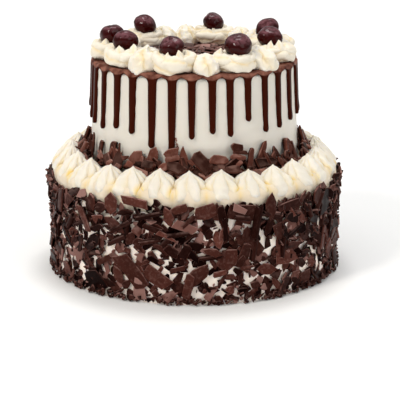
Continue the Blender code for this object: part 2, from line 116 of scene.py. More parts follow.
# (place and width in metres, power in watts, colour)
LAMPS = {
    "key_light": ((-3.3, -3.1, 3.9), 1.1, 132.0, "#FFF9F0"),
    "fill_light": ((3.2, -2.8, 2.6), 2.4, 38.0, "#FFFDFA"),
    "top_light": ((0.2, 1.4, 4.6), 1.8, 92.0, "#FFFFFF"),
}
world = bpy.data.worlds.new("studio")
bpy.context.scene.world = world
world.use_nodes = True
sky = world.node_tree
upwards = add(sky, "ShaderNodeSeparateXYZ", {0: add(sky, "ShaderNodeTexCoord").outputs["Generated"]})
strength = add(sky, "ShaderNodeMapRange", {"Value": upwards.outputs["Z"], "To Min": SKY_AT_HORIZON,
                                           "To Max": SKY_OVERHEAD})
sky.nodes["Background"].inputs["Color"].default_value = linear("#FFFFFF")
sky.links.new(strength.outputs[0], sky.nodes["Background"].inputs["Strength"])
for name, (place, size, power, colour) in LAMPS.items():
    lamp_data = bpy.data.lights.new(name, "AREA")
    lamp_data.size, lamp_data.energy, lamp_data.color = size, power, linear(colour)[:3]
    lamp = bpy.data.objects.new(name, lamp_data)
    lamp.location = place
    lamp.rotation_euler = (Vector(AIM) - Vector(place)).to_track_quat("-Z", "Y").to_euler()
    bpy.context.collection.objects.link(lamp)
print("lamps:", ", ".join(LAMPS))

# %% [markdown]
# ## Floor
# The floor is plain matt paper, nearly white, and runs far back so that no horizon shows. Its grain
# is too faint to see and only keeps the white from being perfectly even.

# %% Floor
FLOOR_SIZE = 16.0
paper, tree, output = new_material("matt_white_paper")
grain = add(tree, "ShaderNodeTexNoise", {"Scale": 90.0, "Detail": 3.0})
tint = add(tree, "ShaderNodeMix", {0: grain.outputs["Fac"], 6: linear("#F9F9F8"), 7: linear("#FBFBFA")},
           data_type="RGBA")
surface = add(tree, "ShaderNodeBsdfPrincipled", {"Base Color": tint.outputs[2], "Roughness": 0.9,
                                                 "Specular IOR Level": 0.1})
tree.links.new(surface.outputs[0], output.inputs["Surface"])
floor_mesh = bpy.data.meshes.new("floor")
half = FLOOR_SIZE / 2
floor_mesh.from_pydata([(-half, -half, 0), (half, -half, 0), (half, half, 0), (-half, half, 0)], [],
                       [(0, 1, 2, 3)])
floor_mesh.materials.append(paper)
floor = bpy.data.objects.new("floor", floor_mesh)
bpy.context.collection.objects.link(floor)
bpy.context.scene.view_settings.view_transform = "Standard"
print("floor:", FLOOR_SIZE, "m wide")

# %% [markdown]
# ## Points, faces and pieces
# Every piece of this cake is built as arrays of points and faces: cream as grids of rings, flakes as
# small bevelled plates. One function turns the parts of a piece into one mesh, with numbers stored
# on its points that its material reads, such as how deep in a crease a point lies. It also hangs the
# piece on the root body, hides the solids that it replaces and gives it its finish.

# %% From parts to a piece
COUNTS = {}


def make_piece(name, parts, finish, nodes, smooth=True):
    """One object from parts of (points, lists of equal-sided faces, numbers on the points)."""
    points = np.concatenate([part[0] for part in parts])
    sizes, corners, start = [], [], 0
    for part_points, face_lists, _ in parts:
        for faces in face_lists:
            sizes.append(np.full(len(faces), faces.shape[1]))
            corners.append((faces + start).ravel())
        start += len(part_points)
    sizes, corners = np.concatenate(sizes), np.concatenate(corners)
    mesh = bpy.data.meshes.new(name)
    mesh.vertices.add(len(points))
    mesh.vertices.foreach_set("co", points.astype(np.float32).ravel())
    mesh.loops.add(len(corners))
    mesh.loops.foreach_set("vertex_index", corners.astype(np.int32))
    mesh.polygons.add(len(sizes))
    mesh.polygons.foreach_set("loop_start", (np.cumsum(sizes) - sizes).astype(np.int32))
    mesh.update(calc_edges=True)
    for key in parts[0][2]:
        values = np.concatenate([np.asarray(part[2][key], np.float32) for part in parts])
        kind, field = ("FLOAT", "value") if values.ndim == 1 else ("FLOAT_VECTOR", "vector")
        mesh.attributes.new(key, kind, "POINT").data.foreach_set(field, values.ravel())
    mesh.polygons.foreach_set("use_smooth", np.full(len(sizes), smooth))
    mesh.materials.append(finish)
    piece = bpy.data.objects.new(name, mesh)
    bpy.context.collection.objects.link(piece)
    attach(piece, "root")
    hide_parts(*nodes)
    COUNTS[name] = int((sizes - 2).sum())


print("pieces so far:", len(COUNTS))

# %% [markdown]
# ## Curves, lumps and rings
# Three helpers give food its forms. A table of a few rows becomes a smooth curve, so that a profile
# can be read and changed at a glance. A sum of waves in all directions gives soft lumps, since
# nothing made by hand is even. And a grid of rings is joined to faces and closed at both ends.

# %% Curves, lumps and rings
def curve_through(rows, at):
    """A smooth curve through rows of (position, value), read at other positions."""
    x, y = np.asarray(rows, float).T
    straight = np.diff(y) / np.diff(x)
    before, after = straight[:-1], straight[1:]
    turns = before * after <= 0
    # The harmonic mean of two slopes never lets the curve overshoot a row.
    inner = np.where(turns, 0.0, 2 * before * after / np.where(turns, 1.0, before + after))
    slope = np.concatenate((straight[:1], inner, straight[-1:]))
    i = np.clip(np.searchsorted(x, at, "right") - 1, 0, len(x) - 2)
    step = x[i + 1] - x[i]
    t = np.clip((at - x[i]) / step, 0, 1)
    start, end = y[i] + t * step * slope[i], y[i + 1] - (1 - t) * step * slope[i + 1]
    blend = t * t * (3 - 2 * t)
    return start * (1 - blend) + end * blend


def lumps(points, size, seed, waves=9):
    """Smooth unevenness between about -1 and 1, whose bumps are about this far apart."""
    draw = np.random.default_rng(seed)
    directions = draw.normal(size=(waves, 3))
    directions *= 2 * math.pi / size * draw.uniform(0.6, 1.5, (waves, 1)) / np.linalg.norm(
        directions, axis=1, keepdims=True)
    return np.sin(points @ directions.T + draw.uniform(0, 2 * math.pi, waves)).sum(1) / math.sqrt(waves)


def grid_faces(rows, columns):
    """The faces between rings of points, and a cap on the first and the last ring."""
    row, column = np.meshgrid(np.arange(rows - 1), np.arange(columns), indexing="ij")
    near, beside = row * columns + column, row * columns + (column + 1) % columns
    sides = np.stack((near, beside, beside + columns, near + columns), axis=-1).reshape(-1, 4)
    first, last = np.arange(columns)[::-1], (rows - 1) * columns + np.arange(columns)
    return [sides, first[None], last[None]]


print("half way up a curve:", round(float(curve_through(((0, 0), (1, 1), (2, 1)), 0.5)), 3))

# %% [markdown]
# ## Where things sit
# The cake is round, so every place on it is an angle from the front, a radius and a height. A piece
# is first made round its own middle, with X along the cake's side, Y inwards and Z up, and is then
# moved. The sizes of the two tiers are those of the solid model, in metres.

# %% Where things sit
LOWER_RADIUS, LOWER_HEIGHT, LOWER_EDGE = 0.1285, 0.100, 0.007
UPPER_BASE, UPPER_SHOULDER, UPPER_TOP = 0.1003, 0.1865, 0.1885
UPPER_FOOT_RADIUS, UPPER_SHOULDER_RADIUS = 0.0945, 0.0905
GLAZE_TOP = 0.1909


def stand(points, angle, radius, height):
    """Points of X along the side, Y inwards, Z up, moved to their place on the cake."""
    c, s = math.cos(angle), math.sin(angle)
    return points @ np.array(((c, s, 0), (-s, c, 0), (0, 0, 1))) + (radius * s, -radius * c, height)


def standing_frame(angle, radius, height):
    """The same move as a matrix."""
    return (Matrix.Translation((radius * math.sin(angle), -radius * math.cos(angle), height))
            @ Matrix.Rotation(angle, 4, "Z"))


def moved(points, place):
    """Points moved by a matrix."""
    place = np.array(place)
    return points @ place[:3, :3].T + place[:3, 3]


def upper_wall_radius(height):
    """The radius of the upper tier's side at a height: it is a little wider at its foot."""
    share = (height - UPPER_BASE) / (UPPER_SHOULDER - UPPER_BASE)
    return UPPER_FOOT_RADIUS + share * (UPPER_SHOULDER_RADIUS - UPPER_FOOT_RADIUS)


print("tiers are", 2000 * LOWER_RADIUS, "and", 2000 * UPPER_FOOT_RADIUS, "mm across")

# %% [markdown]
# ## Finish: whipped cream, piped
# Whipped cream is fat and air, so light goes a few millimetres in and comes out warm. It is nearly
# matt, with the typical IOR of fat. The creases that the nozzle leaves see only other cream, which
# turns them yellow. That light is painted into the colour: the number called crease, stored on the
# points, mixes in a deeper yellow, a painted shade in each crease. A faint grain stands for the
# pores, drawn at 1.5 to 2 mm, because the real ones, at 0.2 mm, would not show.
#
# Four creams share one recipe. The border is piped thick, so light goes well into it. The swirls of
# the wreath are thin folds that inner light would blur into a lump, so they have none. Spread cream
# shows as a band under the border. The cream under the shavings shows in slits between dark flakes,
# which swallow its light, so it is painted lighter than the rest, as painted light, to look as white
# as it does on a cake.

# %% Whipped cream, piped
def cream_finish(name, light, mid, crease_shade_colour, roughness, pores, pore_depth, glow):
    """Cream: its colour from lit skin to the painted shade of a crease, its pores as bump and the light
    inside it.
    """
    material, tree, output = new_material(name)
    place = add(tree, "ShaderNodeTexCoord").outputs["Object"]
    crease = add(tree, "ShaderNodeAttribute", attribute_name="crease").outputs["Fac"]
    patches = add(tree, "ShaderNodeTexNoise", {"Vector": place, "Scale": 110.0, "Detail": 2.0})
    skin = add(tree, "ShaderNodeMix", {0: patches.outputs["Fac"], 6: linear(light), 7: linear(mid)},
               data_type="RGBA")
    # Painted shade: the deeper in a crease, the more the colour turns to the crease's yellow
    crease_shade = add(tree, "ShaderNodeMix", {0: crease, 6: skin.outputs[2], 7: linear(crease_shade_colour)},
               data_type="RGBA")
    foam = add(tree, "ShaderNodeTexNoise", {"Vector": place, "Scale": 1 / pores, "Detail": 3.0,
                                            "Roughness": 0.6})
    bump = add(tree, "ShaderNodeBump", {"Height": foam.outputs["Fac"], "Strength": 0.6,
                                        "Distance": pore_depth})
    surface = add(tree, "ShaderNodeBsdfPrincipled", {
        "Base Color": crease_shade.outputs[2], "Roughness": roughness, "IOR": 1.46, "Specular IOR Level": 0.35,
        "Subsurface Weight": glow, "Subsurface Radius": (1.0, 0.9, 0.65), "Subsurface Scale": 0.0022,
        "Normal": bump.outputs["Normal"]})
    tree.links.new(surface.outputs[0], output.inputs["Surface"])
    return material


piped_cream = cream_finish("whipped_cream_piped", "#ECE6DA", "#E5DECF", "#F2CE5C",
                           roughness=0.6, pores=0.0015, pore_depth=0.00025, glow=0.5)
swirled_cream = cream_finish("whipped_cream_swirled", "#EFE8D9", "#E8DFCD", "#FFD978",
                             roughness=0.6, pores=0.0015, pore_depth=0.0002, glow=0.0)
spread_cream = cream_finish("whipped_cream_spread", "#E8DCC9", "#E1D2BA", "#F2D27A",
                            roughness=0.55, pores=0.0020, pore_depth=0.0002, glow=0.3)
# Painted light: lighter than the other creams, to make up for the shade of the flakes
coated_cream = cream_finish("whipped_cream_under_shards", "#FFF3E9", "#FAE8DB", "#F2D27A",
                            roughness=0.55, pores=0.0020, pore_depth=0.0002, glow=0.3)
print("made", piped_cream.name, swirled_cream.name, spread_cream.name, "and", coated_cream.name)

# %% [markdown]
# ## Finish: cream, scraped smooth
# The side of the upper tier was coated with a palette knife and scraped smooth. Its cream looks
# cooler and greyer than the piped cream, since it is flat, upright and thin. The knife leaves long,
# shallow marks round the tier, so the bump is noise that is stretched along the side: its marks are
# 6 mm high and 125 mm long.

# %% Cream, scraped smooth
smooth_cream, tree, output = new_material("cream_scraped_smooth")
place = add(tree, "ShaderNodeTexCoord").outputs["Object"]
squeezed = add(tree, "ShaderNodeMapping", {"Vector": place, "Scale": (8.0, 8.0, 160.0)})
marks = add(tree, "ShaderNodeTexNoise", {"Vector": squeezed.outputs[0], "Scale": 1.0, "Detail": 4.0})
clouds = add(tree, "ShaderNodeTexNoise", {"Vector": place, "Scale": 45.0, "Detail": 2.0})
coat = add(tree, "ShaderNodeMix", {0: clouds.outputs["Fac"], 6: linear("#E4DFD6"), 7: linear("#DED8CC")},
           data_type="RGBA")
bump = add(tree, "ShaderNodeBump", {"Height": marks.outputs["Fac"], "Strength": 0.5, "Distance": 0.0004})
surface = add(tree, "ShaderNodeBsdfPrincipled", {
    "Base Color": coat.outputs[2], "Roughness": 0.5, "IOR": 1.46, "Specular IOR Level": 0.35,
    "Subsurface Weight": 0.3, "Subsurface Radius": (1.0, 0.8, 0.6), "Subsurface Scale": 0.002,
    "Normal": bump.outputs["Normal"]})
tree.links.new(surface.outputs[0], output.inputs["Surface"])
print("made", smooth_cream.name)

# %% [markdown]
# ## A drum of cake
# Each tier is a drum. A drum is its outline turned about the cake's axis: rings of points, one ring
# for each point of the outline. The rings are then pushed in and out by a fraction of a millimetre,
# because a scraped side is never a true cylinder. A cylinder with a displacement would do as well,
# but an outline also gives the rounded rim in the same step.

# %% A drum of cake
def turned(outline, columns, wave, wave_size, seed):
    """Rings of points from an outline of (radius, height), uneven by a small wave."""
    outline = np.asarray(outline, float)
    corner = np.linspace(0, 2 * math.pi, columns, endpoint=False)
    points = np.stack([np.stack((r * np.sin(corner), -r * np.cos(corner), np.full(columns, z)), -1)
                       for r, z in outline]).reshape(-1, 3)
    flat = points * (0.3, 0.3, 1.0)
    push = wave * lumps(flat, wave_size, seed)
    radius = np.hypot(points[:, 0], points[:, 1])
    points[:, :2] *= (1 + push / np.maximum(radius, 0.01))[:, None]
    return points, grid_faces(len(outline), columns), {"crease": np.zeros(len(points))}


def outline_through(corners, step):
    """Points along straight lines between corners, no further apart than a step."""
    points = []
    for (r1, z1), (r2, z2) in zip(corners, corners[1:]):
        count = max(1, math.ceil(math.hypot(r2 - r1, z2 - z1) / step))
        points += [(r1 + (r2 - r1) * i / count, z1 + (z2 - z1) * i / count) for i in range(count)]
    return points + [corners[-1]]


# The smallest ring of a drum, because a ring can't be a point.
AXIS = 0.0005
print("a line of 10 mm in steps of 3 mm has", len(outline_through([(0, 0), (0.01, 0)], 0.003)), "points")

# %% [markdown]
# ## The side of the lower tier
# Below its border the lower tier is nearly hidden by shavings, and its cream shows only in the slits
# between them. It stands out by half a millimetre where the shavings lie thinnest, so that the slits
# are shallow and catch the light.

# %% The side of the lower tier
COATED_TO, THIN_COAT_TO, THIN_COAT_OUT = 0.0805, 0.070, 0.0005
side = outline_through([(AXIS, 0.0), (LOWER_RADIUS, 0.0)], 0.04) + outline_through(
    [(LOWER_RADIUS, 0.0004), (LOWER_RADIUS, COATED_TO)], 0.0035)
points, faces, crease = turned(side, 256, 0.0003, 0.016, 1)
radius = np.hypot(points[:, 0], points[:, 1])
out = THIN_COAT_OUT * (points[:, 2] < THIN_COAT_TO) * (radius > LOWER_RADIUS - 0.001)
points[:, :2] *= (1 + out / np.maximum(radius, 0.01))[:, None]
make_piece("lower_drum", [(points, faces, crease)], coated_cream, ["lower_tier"])
print("side of the lower tier:", COUNTS["lower_drum"], "triangles")

# %% [markdown]
# ## The bed of the border
# The top of the lower tier and its rounded rim carry the border. Where the dollops press on it, the
# cream is pushed out into a soft roll, which swells below each of the 28 dollops. In the pockets
# between them the roll is painted warmest, a painted shade. This bed is a piece of its own, with
# nearly twice the columns of the side below it, because the roll has to follow each dollop.

# %% The bed of the border
BORDER_COUNT, BORDER_TURN = 28, math.radians(-1.7)
ROLL_HEIGHT, ROLL_SPREAD, ROLL_SWELL, ROLL_BACK = 0.0905, 0.0055, 0.0030, 0.0010
flat_to, round_from = LOWER_RADIUS - LOWER_EDGE, LOWER_HEIGHT - LOWER_EDGE
rim = [(flat_to + LOWER_EDGE * math.sin(a), round_from + LOWER_EDGE * math.cos(a))
       for a in np.linspace(math.pi / 2, 0, 7)]
shelf = [(flat_to - 0.003, LOWER_HEIGHT), (0.090, LOWER_HEIGHT)]
bed = (outline_through([(LOWER_RADIUS, COATED_TO)] + rim[:1], 0.0018) + rim[1:]
       + outline_through(shelf, 0.003) + [(AXIS, LOWER_HEIGHT)])
points, faces, _ = turned(bed, 448, 0.0003, 0.016, 1)
radius = np.hypot(points[:, 0], points[:, 1])
roll = np.exp(-((points[:, 2] - ROLL_HEIGHT) / ROLL_SPREAD) ** 2) * (radius > LOWER_RADIUS - 0.002)
round_it = np.arctan2(points[:, 0], -points[:, 1]) - BORDER_TURN
scallop = (0.75 * np.abs(np.cos(0.5 * BORDER_COUNT * round_it)) ** 0.6
           + 0.25 * np.abs(np.cos(1.5 * BORDER_COUNT * round_it)) ** 0.6)
swell = ROLL_SWELL * scallop - ROLL_BACK + 0.0006 * lumps(points, 0.012, 7)
points[:, :2] *= (1 + roll * swell / radius)[:, None]
# Painted shade in the pockets between two dollops, just above the roll
pocket = (1 - scallop) ** 1.5 * np.exp(-((points[:, 2] - ROLL_HEIGHT - 0.0045) / 0.0045) ** 2)
make_piece("border_bed", [(points, faces, {"crease": 0.7 * pocket})], spread_cream,
           ["lower_tier"])
print("bed of the border:", COUNTS["border_bed"], "triangles")

# %% [markdown]
# ## The side of the upper tier
# The upper tier leans inwards by 4 mm from foot to shoulder, as a scraped side does when the scraper
# is held a little off the upright. Its shoulder is cut back, so that the glaze can roll over it.

# %% The side of the upper tier
SHOULDER = [(0.0895, 0.1878), (0.0876, UPPER_TOP), (AXIS, UPPER_TOP)]
wall = outline_through([(AXIS, UPPER_BASE), (UPPER_FOOT_RADIUS, UPPER_BASE)], 0.04) + outline_through(
    [(UPPER_FOOT_RADIUS, UPPER_BASE + 0.0003), (UPPER_SHOULDER_RADIUS, UPPER_SHOULDER)], 0.0018) + SHOULDER
make_piece("upper_drum", [turned(wall, 256, 0.00022, 0.011, 2)], smooth_cream,
           ["upper_tier"])
print("drums and bed:", COUNTS)

# %% [markdown]
# ## Finish: chocolate glaze, poured and set
# The glaze is chocolate melted with cream. It was poured on the cold cake and ran over the edge. Set
# glaze is satin, and the runs are almost black-brown. The sheet on the top is painted a lighter,
# milkier brown in patches: a painted sheen, for the bright room that its upward faces reflect. The
# number called lip goes from 0 on a run to 1 on the sheet.
# The IOR of 1.48 lies between cocoa butter and sugar. The specular level is low, because set glaze
# has a skin that scatters most of its reflection.

# %% Chocolate glaze, poured and set
set_glaze, tree, output = new_material("chocolate_glaze_poured_set")
place = add(tree, "ShaderNodeTexCoord").outputs["Object"]
lip = add(tree, "ShaderNodeAttribute", attribute_name="lip").outputs["Fac"]
skin = add(tree, "ShaderNodeTexNoise", {"Vector": place, "Scale": 160.0, "Detail": 3.0})
# Painted sheen: the sheet on the top and the upper curve of its lip are painted lighter, in patches
sheen_patches = add(tree, "ShaderNodeMapRange", {"Value": skin.outputs["Fac"], "From Min": 0.36,
                                           "From Max": 0.66})
sheet = add(tree, "ShaderNodeMix", {0: sheen_patches.outputs[0], 6: linear("#532A20"), 7: linear("#936353")},
            data_type="RGBA")
glaze_colour = add(tree, "ShaderNodeMix", {0: lip, 6: linear("#370D01"), 7: sheet.outputs[2]},
                   data_type="RGBA")
dull = add(tree, "ShaderNodeMapRange", {"Value": lip, "To Min": 0.30, "To Max": 0.42})
bump = add(tree, "ShaderNodeBump", {"Height": skin.outputs["Fac"], "Strength": 0.3, "Distance": 0.0003})
surface = add(tree, "ShaderNodeBsdfPrincipled", {
    "Base Color": glaze_colour.outputs[2], "Roughness": dull.outputs[0], "IOR": 1.48,
    "Specular IOR Level": 0.04, "Normal": bump.outputs["Normal"]})
tree.links.new(surface.outputs[0], output.inputs["Surface"])
print("made", set_glaze.name)

# %% [markdown]
# ## Where the runs are
# Fifteen runs show from the front, each with its own place and length, so they are listed. The back
# has seventeen more in the same rhythm. Their lengths are drawn, mostly near the middle of the range,
# since a hand that pours at an even pace gives few very long or very short runs.

# %% Where the runs are
# (degrees from the front, height of the lower end in metres)
FRONT_RUNS = (
    (-77.0, 0.1392), (-70.0, 0.1367), (-58.5, 0.1356), (-46.1, 0.1393), (-34.9, 0.1372), (-22.8, 0.1272),
    (-11.7, 0.1240), (-1.1, 0.1362), (9.9, 0.1405), (19.6, 0.1373), (30.2, 0.1490), (41.6, 0.1374),
    (52.6, 0.1382), (64.9, 0.1412), (78.5, 0.1422),
)
BACK_RUNS = 17
BACK_RUN_ENDS, BACK_RUN_USUAL_END = (0.127, 0.149), 0.138
RUN_WIDTH = 0.0069


def glaze_runs():
    """[(angle, height of the end, width)]: the runs of the front, then the drawn ones of the back."""
    draw = random.Random(5)
    runs = [(math.radians(angle), end) for angle, end in FRONT_RUNS]
    first, last = runs[-1][0], runs[0][0] + 2 * math.pi
    for i in range(1, BACK_RUNS + 1):
        place = (i + draw.uniform(-0.12, 0.12)) / (BACK_RUNS + 1)
        runs.append((first + place * (last - first), draw.triangular(*BACK_RUN_ENDS, BACK_RUN_USUAL_END)))
    return [(angle, end, RUN_WIDTH * draw.uniform(0.9, 1.08)) for angle, end in runs]


print(len(glaze_runs()), "runs")

# %% [markdown]
# ## How a run narrows
# Poured glaze spreads flat on the top, rolls over the edge as a thick lip and then breaks into runs,
# with an arch of bare cream between each two. The way here is to cut the sheet into strips, one to a
# run, each made of rows that go down the side. Above the arches a strip is as wide as the space
# between two runs, and below them it narrows to the run, which ends in a small bead. So two things
# are worked out first: at which heights the rows lie, and how wide the glaze is at each.

# %% How a run narrows
LIP_WIDE, RUN_TIP = 0.0044, 0.006
ARCH_TOP, ARCH_HEIGHT = 0.1882, 0.0056
STRIP_COLUMNS = 17
# (share of the way down a run, share of its usual width)
RUN_TAPER = ((0.0, 1.16), (0.12, 1.06), (0.4, 1.0), (1.0, 0.70))


def run_heights(end, rounding):
    """The heights of the rows that go down the side, from the lip to the end of the run."""
    level = GLAZE_TOP - LIP_WIDE - 0.010
    share = np.linspace(0, 1, 22)[1:, None]
    down_to_level = (GLAZE_TOP - rounding) + (level - GLAZE_TOP + rounding) * share
    straight = np.linspace(level, end + RUN_TIP, 14)[1:]
    round_end = end + RUN_TIP - RUN_TIP * np.sin(np.linspace(0, math.pi / 2, 12))[1:]
    below_level = np.concatenate((straight, round_end))[:, None] * np.ones(STRIP_COLUMNS)
    return np.concatenate((down_to_level, below_level))


def run_reach(height, end, width, half_pitch):
    """Half the width of the glaze at each row: the whole space, then the arch, the run and its bead."""
    below = np.clip(ARCH_TOP - height, 0, None)
    body = curve_through(RUN_TAPER, np.clip(below / (ARCH_TOP - end), 0, 1)) * width / 2
    tail = np.clip((height - end) / 0.0027, 0, 1)
    bead = 1 + 0.12 * np.exp(-((height - end - 0.0030) / 0.0025) ** 2)
    body = body * np.sqrt(1 - (1 - tail) ** 2) * bead
    open_share = (1 - (1 - np.clip(below / ARCH_HEIGHT, 0, 1)) ** 2) ** 0.40
    return half_pitch - open_share * (half_pitch - body)


heights = run_heights(0.14, np.full(STRIP_COLUMNS, LIP_WIDE))
print("rows down the side:", len(heights), "from", round(float(heights.max()), 4), "m")

# %% [markdown]
# ## The glaze, strip by strip
# A strip goes from the middle of the top, over the edge and down the side. The glaze is thin at its
# outline and rounds up from it over 1.6 mm, like any drop. Its lip is round over a run, where it is
# heavy, and tight over an arch. A sheet cut out by a mask would have a jagged edge here, but the
# columns of a strip follow the arches and the runs exactly.

# %% The glaze, strip by strip
GLAZE_DEPTH, EDGE_ROUND, LIP_TIGHT = 0.0021, 0.0016, 0.0018
RIM_RADIUS = UPPER_SHOULDER_RADIUS + GLAZE_DEPTH + 0.0003


def glaze_strip(before, run, after):
    """One run with its share of the sheet, between the middles of the gaps on its two sides."""
    angle, end, width = run
    across = np.linspace(-1, 1, STRIP_COLUMNS)
    across = np.sign(across) * np.abs(across) ** 0.8
    pitch = np.where(across < 0, (angle - before) / 2, (after - angle) / 2)
    middle = 1 - across ** 2

    # The sheet on the top and its rolled lip
    rounding = LIP_TIGHT + (LIP_WIDE - LIP_TIGHT) * middle
    flat = np.linspace(0.002, RIM_RADIUS - LIP_WIDE - 0.001, 16)[:, None] * np.ones(STRIP_COLUMNS)
    bend = np.linspace(0, math.pi / 2, 9)[:, None]
    sheet_radius = np.concatenate((flat, RIM_RADIUS - rounding * (1 - np.sin(bend))))
    sheet_height = np.concatenate((np.full(flat.shape, GLAZE_TOP),
                                   GLAZE_TOP - rounding * (1 - np.cos(bend))))

    # The side, and how far the glaze stands off it: nothing at its outline, most in the middle
    height = run_heights(end, rounding)
    wall, down = upper_wall_radius(height), ARCH_TOP - height
    reach = run_reach(height, end, width, pitch * (wall + GLAZE_DEPTH))
    to_edge = np.hypot((1 - np.abs(across)) * reach, np.clip(-down, 0, None))
    rounded = np.clip(to_edge / EDGE_ROUND, 0, 1)
    swell = 1 + 0.28 * np.exp(-((height - end - 0.004) / 0.004) ** 2)
    drop = GLAZE_DEPTH * swell * np.sqrt(1 - (1 - rounded) ** 2)
    radius = wall + 0.0001 + drop + np.where(down > 0, 0.0004, 0) * middle

    radius = np.concatenate((sheet_radius, radius))
    wide = np.concatenate((np.broadcast_to(pitch, sheet_radius.shape), reach / (wall + GLAZE_DEPTH)))
    spread = angle + across * wide
    height = np.concatenate((sheet_height, height))
    # Where the painted sheen of the sheet ends: on the lip, lower over the middle of a run
    lip_edge = ARCH_TOP + 0.0008 - 0.0030 * middle
    lip = np.clip((height - lip_edge) / 0.0012, 0, 1)
    points = np.stack((radius * np.sin(spread), -radius * np.cos(spread), height), -1).reshape(-1, 3)
    row, column = np.meshgrid(np.arange(len(height) - 1), np.arange(STRIP_COLUMNS - 1), indexing="ij")
    near = row * STRIP_COLUMNS + column
    faces = np.stack((near, near + STRIP_COLUMNS, near + STRIP_COLUMNS + 1, near + 1), -1).reshape(-1, 4)
    return points, [faces], {"lip": lip.ravel()}


runs = sorted(glaze_runs())
strips = []
for i, run in enumerate(runs):
    before = runs[i - 1][0] - (2 * math.pi if i == 0 else 0)
    after = runs[(i + 1) % len(runs)][0] + (2 * math.pi if i + 1 == len(runs) else 0)
    strips.append(glaze_strip(before, run, after))
for points, _, _ in strips:
    top = np.clip((points[:, 2] - ARCH_TOP) / 0.002, 0, 1)
    points[:, 2] += 0.00025 * top * lumps(points, 0.014, 6)
make_piece("glaze_sheet", strips, set_glaze, ["glaze"])
print("glaze:", COUNTS["glaze_sheet"], "triangles in", len(strips), "strips")

# %% [markdown]
# ## A dollop of piped cream
# A star nozzle gives the cream its section: round lobes with sharp creases between them. Held still
# and then drawn away, it leaves a dollop: the cream spreads at the foot, stands as a round body and
# ends in a small pulled tip. Here the rings of the dollop take their width from one smooth curve and
# their section from the star. No two lobes are alike, because the angle round the star is bent a
# little for each dollop. Dollops piped side by side press each other flat, so the lower part may
# also be made boxy.

# %% A dollop of piped cream
def star(corner, lobes, depth, sharp=0.62):
    """How far the section of a star nozzle reaches at an angle, and how deep in a crease that is."""
    round_lobe = np.abs(np.cos(0.5 * lobes * corner)) ** sharp
    return 1 - depth * (1 - round_lobe), (1 - round_lobe) ** 1.5


def dollop(draw, profile, lobes, depth, turn, twist, boxy=2.0, rows=32, columns=100):
    """A unit dollop as rings: share of the width along X and Y, share of the height as Z, its creases."""
    low_rows = np.linspace(0, 0.7, rows // 2, endpoint=False)
    high_rows = 0.7 + 0.3 * np.sin(np.linspace(0, math.pi / 2, rows - rows // 2))
    rise = np.concatenate((low_rows, high_rows))
    share = np.maximum(curve_through(profile, rise), 0.012)
    corner = np.linspace(0, 2 * math.pi, columns, endpoint=False)
    height, corner = np.meshgrid(rise, corner, indexing="ij")
    bent = corner + draw.uniform(0.05, 0.16) * np.sin(corner + draw.uniform(0, 6.3))
    bent = bent + draw.uniform(0.10, 0.32) * np.sin(2 * corner)
    reach, crease = star(bent + turn + twist * height, lobes, depth)
    # Creases fade out at the tip and where the foot has sunk together.
    fade = np.clip((1 - height) / 0.16, 0.25, 1) * np.clip(0.25 + 1.6 * height, 0, 1)
    reach = 1 - (1 - reach) * fade
    power = 2 + (boxy - 2) * np.clip((0.80 - height) / 0.35, 0, 1)
    reach = reach * (np.abs(np.cos(corner)) ** power + np.abs(np.sin(corner)) ** power) ** (-1 / power)
    width = share[:, None] * reach
    points = np.stack((width * np.cos(corner), width * np.sin(corner), height), -1).reshape(-1, 3)
    return points, grid_faces(rows, columns), (crease * fade).ravel()


print("a dollop has", len(dollop(random.Random(1), ((0, 1), (1, 0)), 6, 0.2, 0, 0)[0]), "points")

# %% [markdown]
# ## The border of the lower tier
# Twenty-eight large dollops stand on the edge of the lower tier and sag a little over it. They were
# piped one against the next, so that deep pockets are left low between two neighbours; these get the
# warmest painted shade, and the creases are painted deeper towards the foot. Each is its own piece,
# as it is in the solid model, and keeps that solid's place, lean and height. Its folds come from a
# number of its own, since a piper never repeats a dollop.

# %% The border of the lower tier
BORDER_RING = 0.1145
BORDER_HALF_WIDTH, BORDER_HALF_DEPTH, BORDER_OVERHANG = 0.0138, 0.0114, 0.0042
BORDER_DROP, BORDER_HEIGHT, BORDER_LEAN = 0.0140, 0.0138, 0.0030
BORDER_BELLY, BELLY_SPREAD, BORDER_BOXY = 0.27, 0.26, 4.2
POCKET_HEIGHT, POCKET_SPREAD, POCKET_SHADE = 0.42, 0.15, 1.1
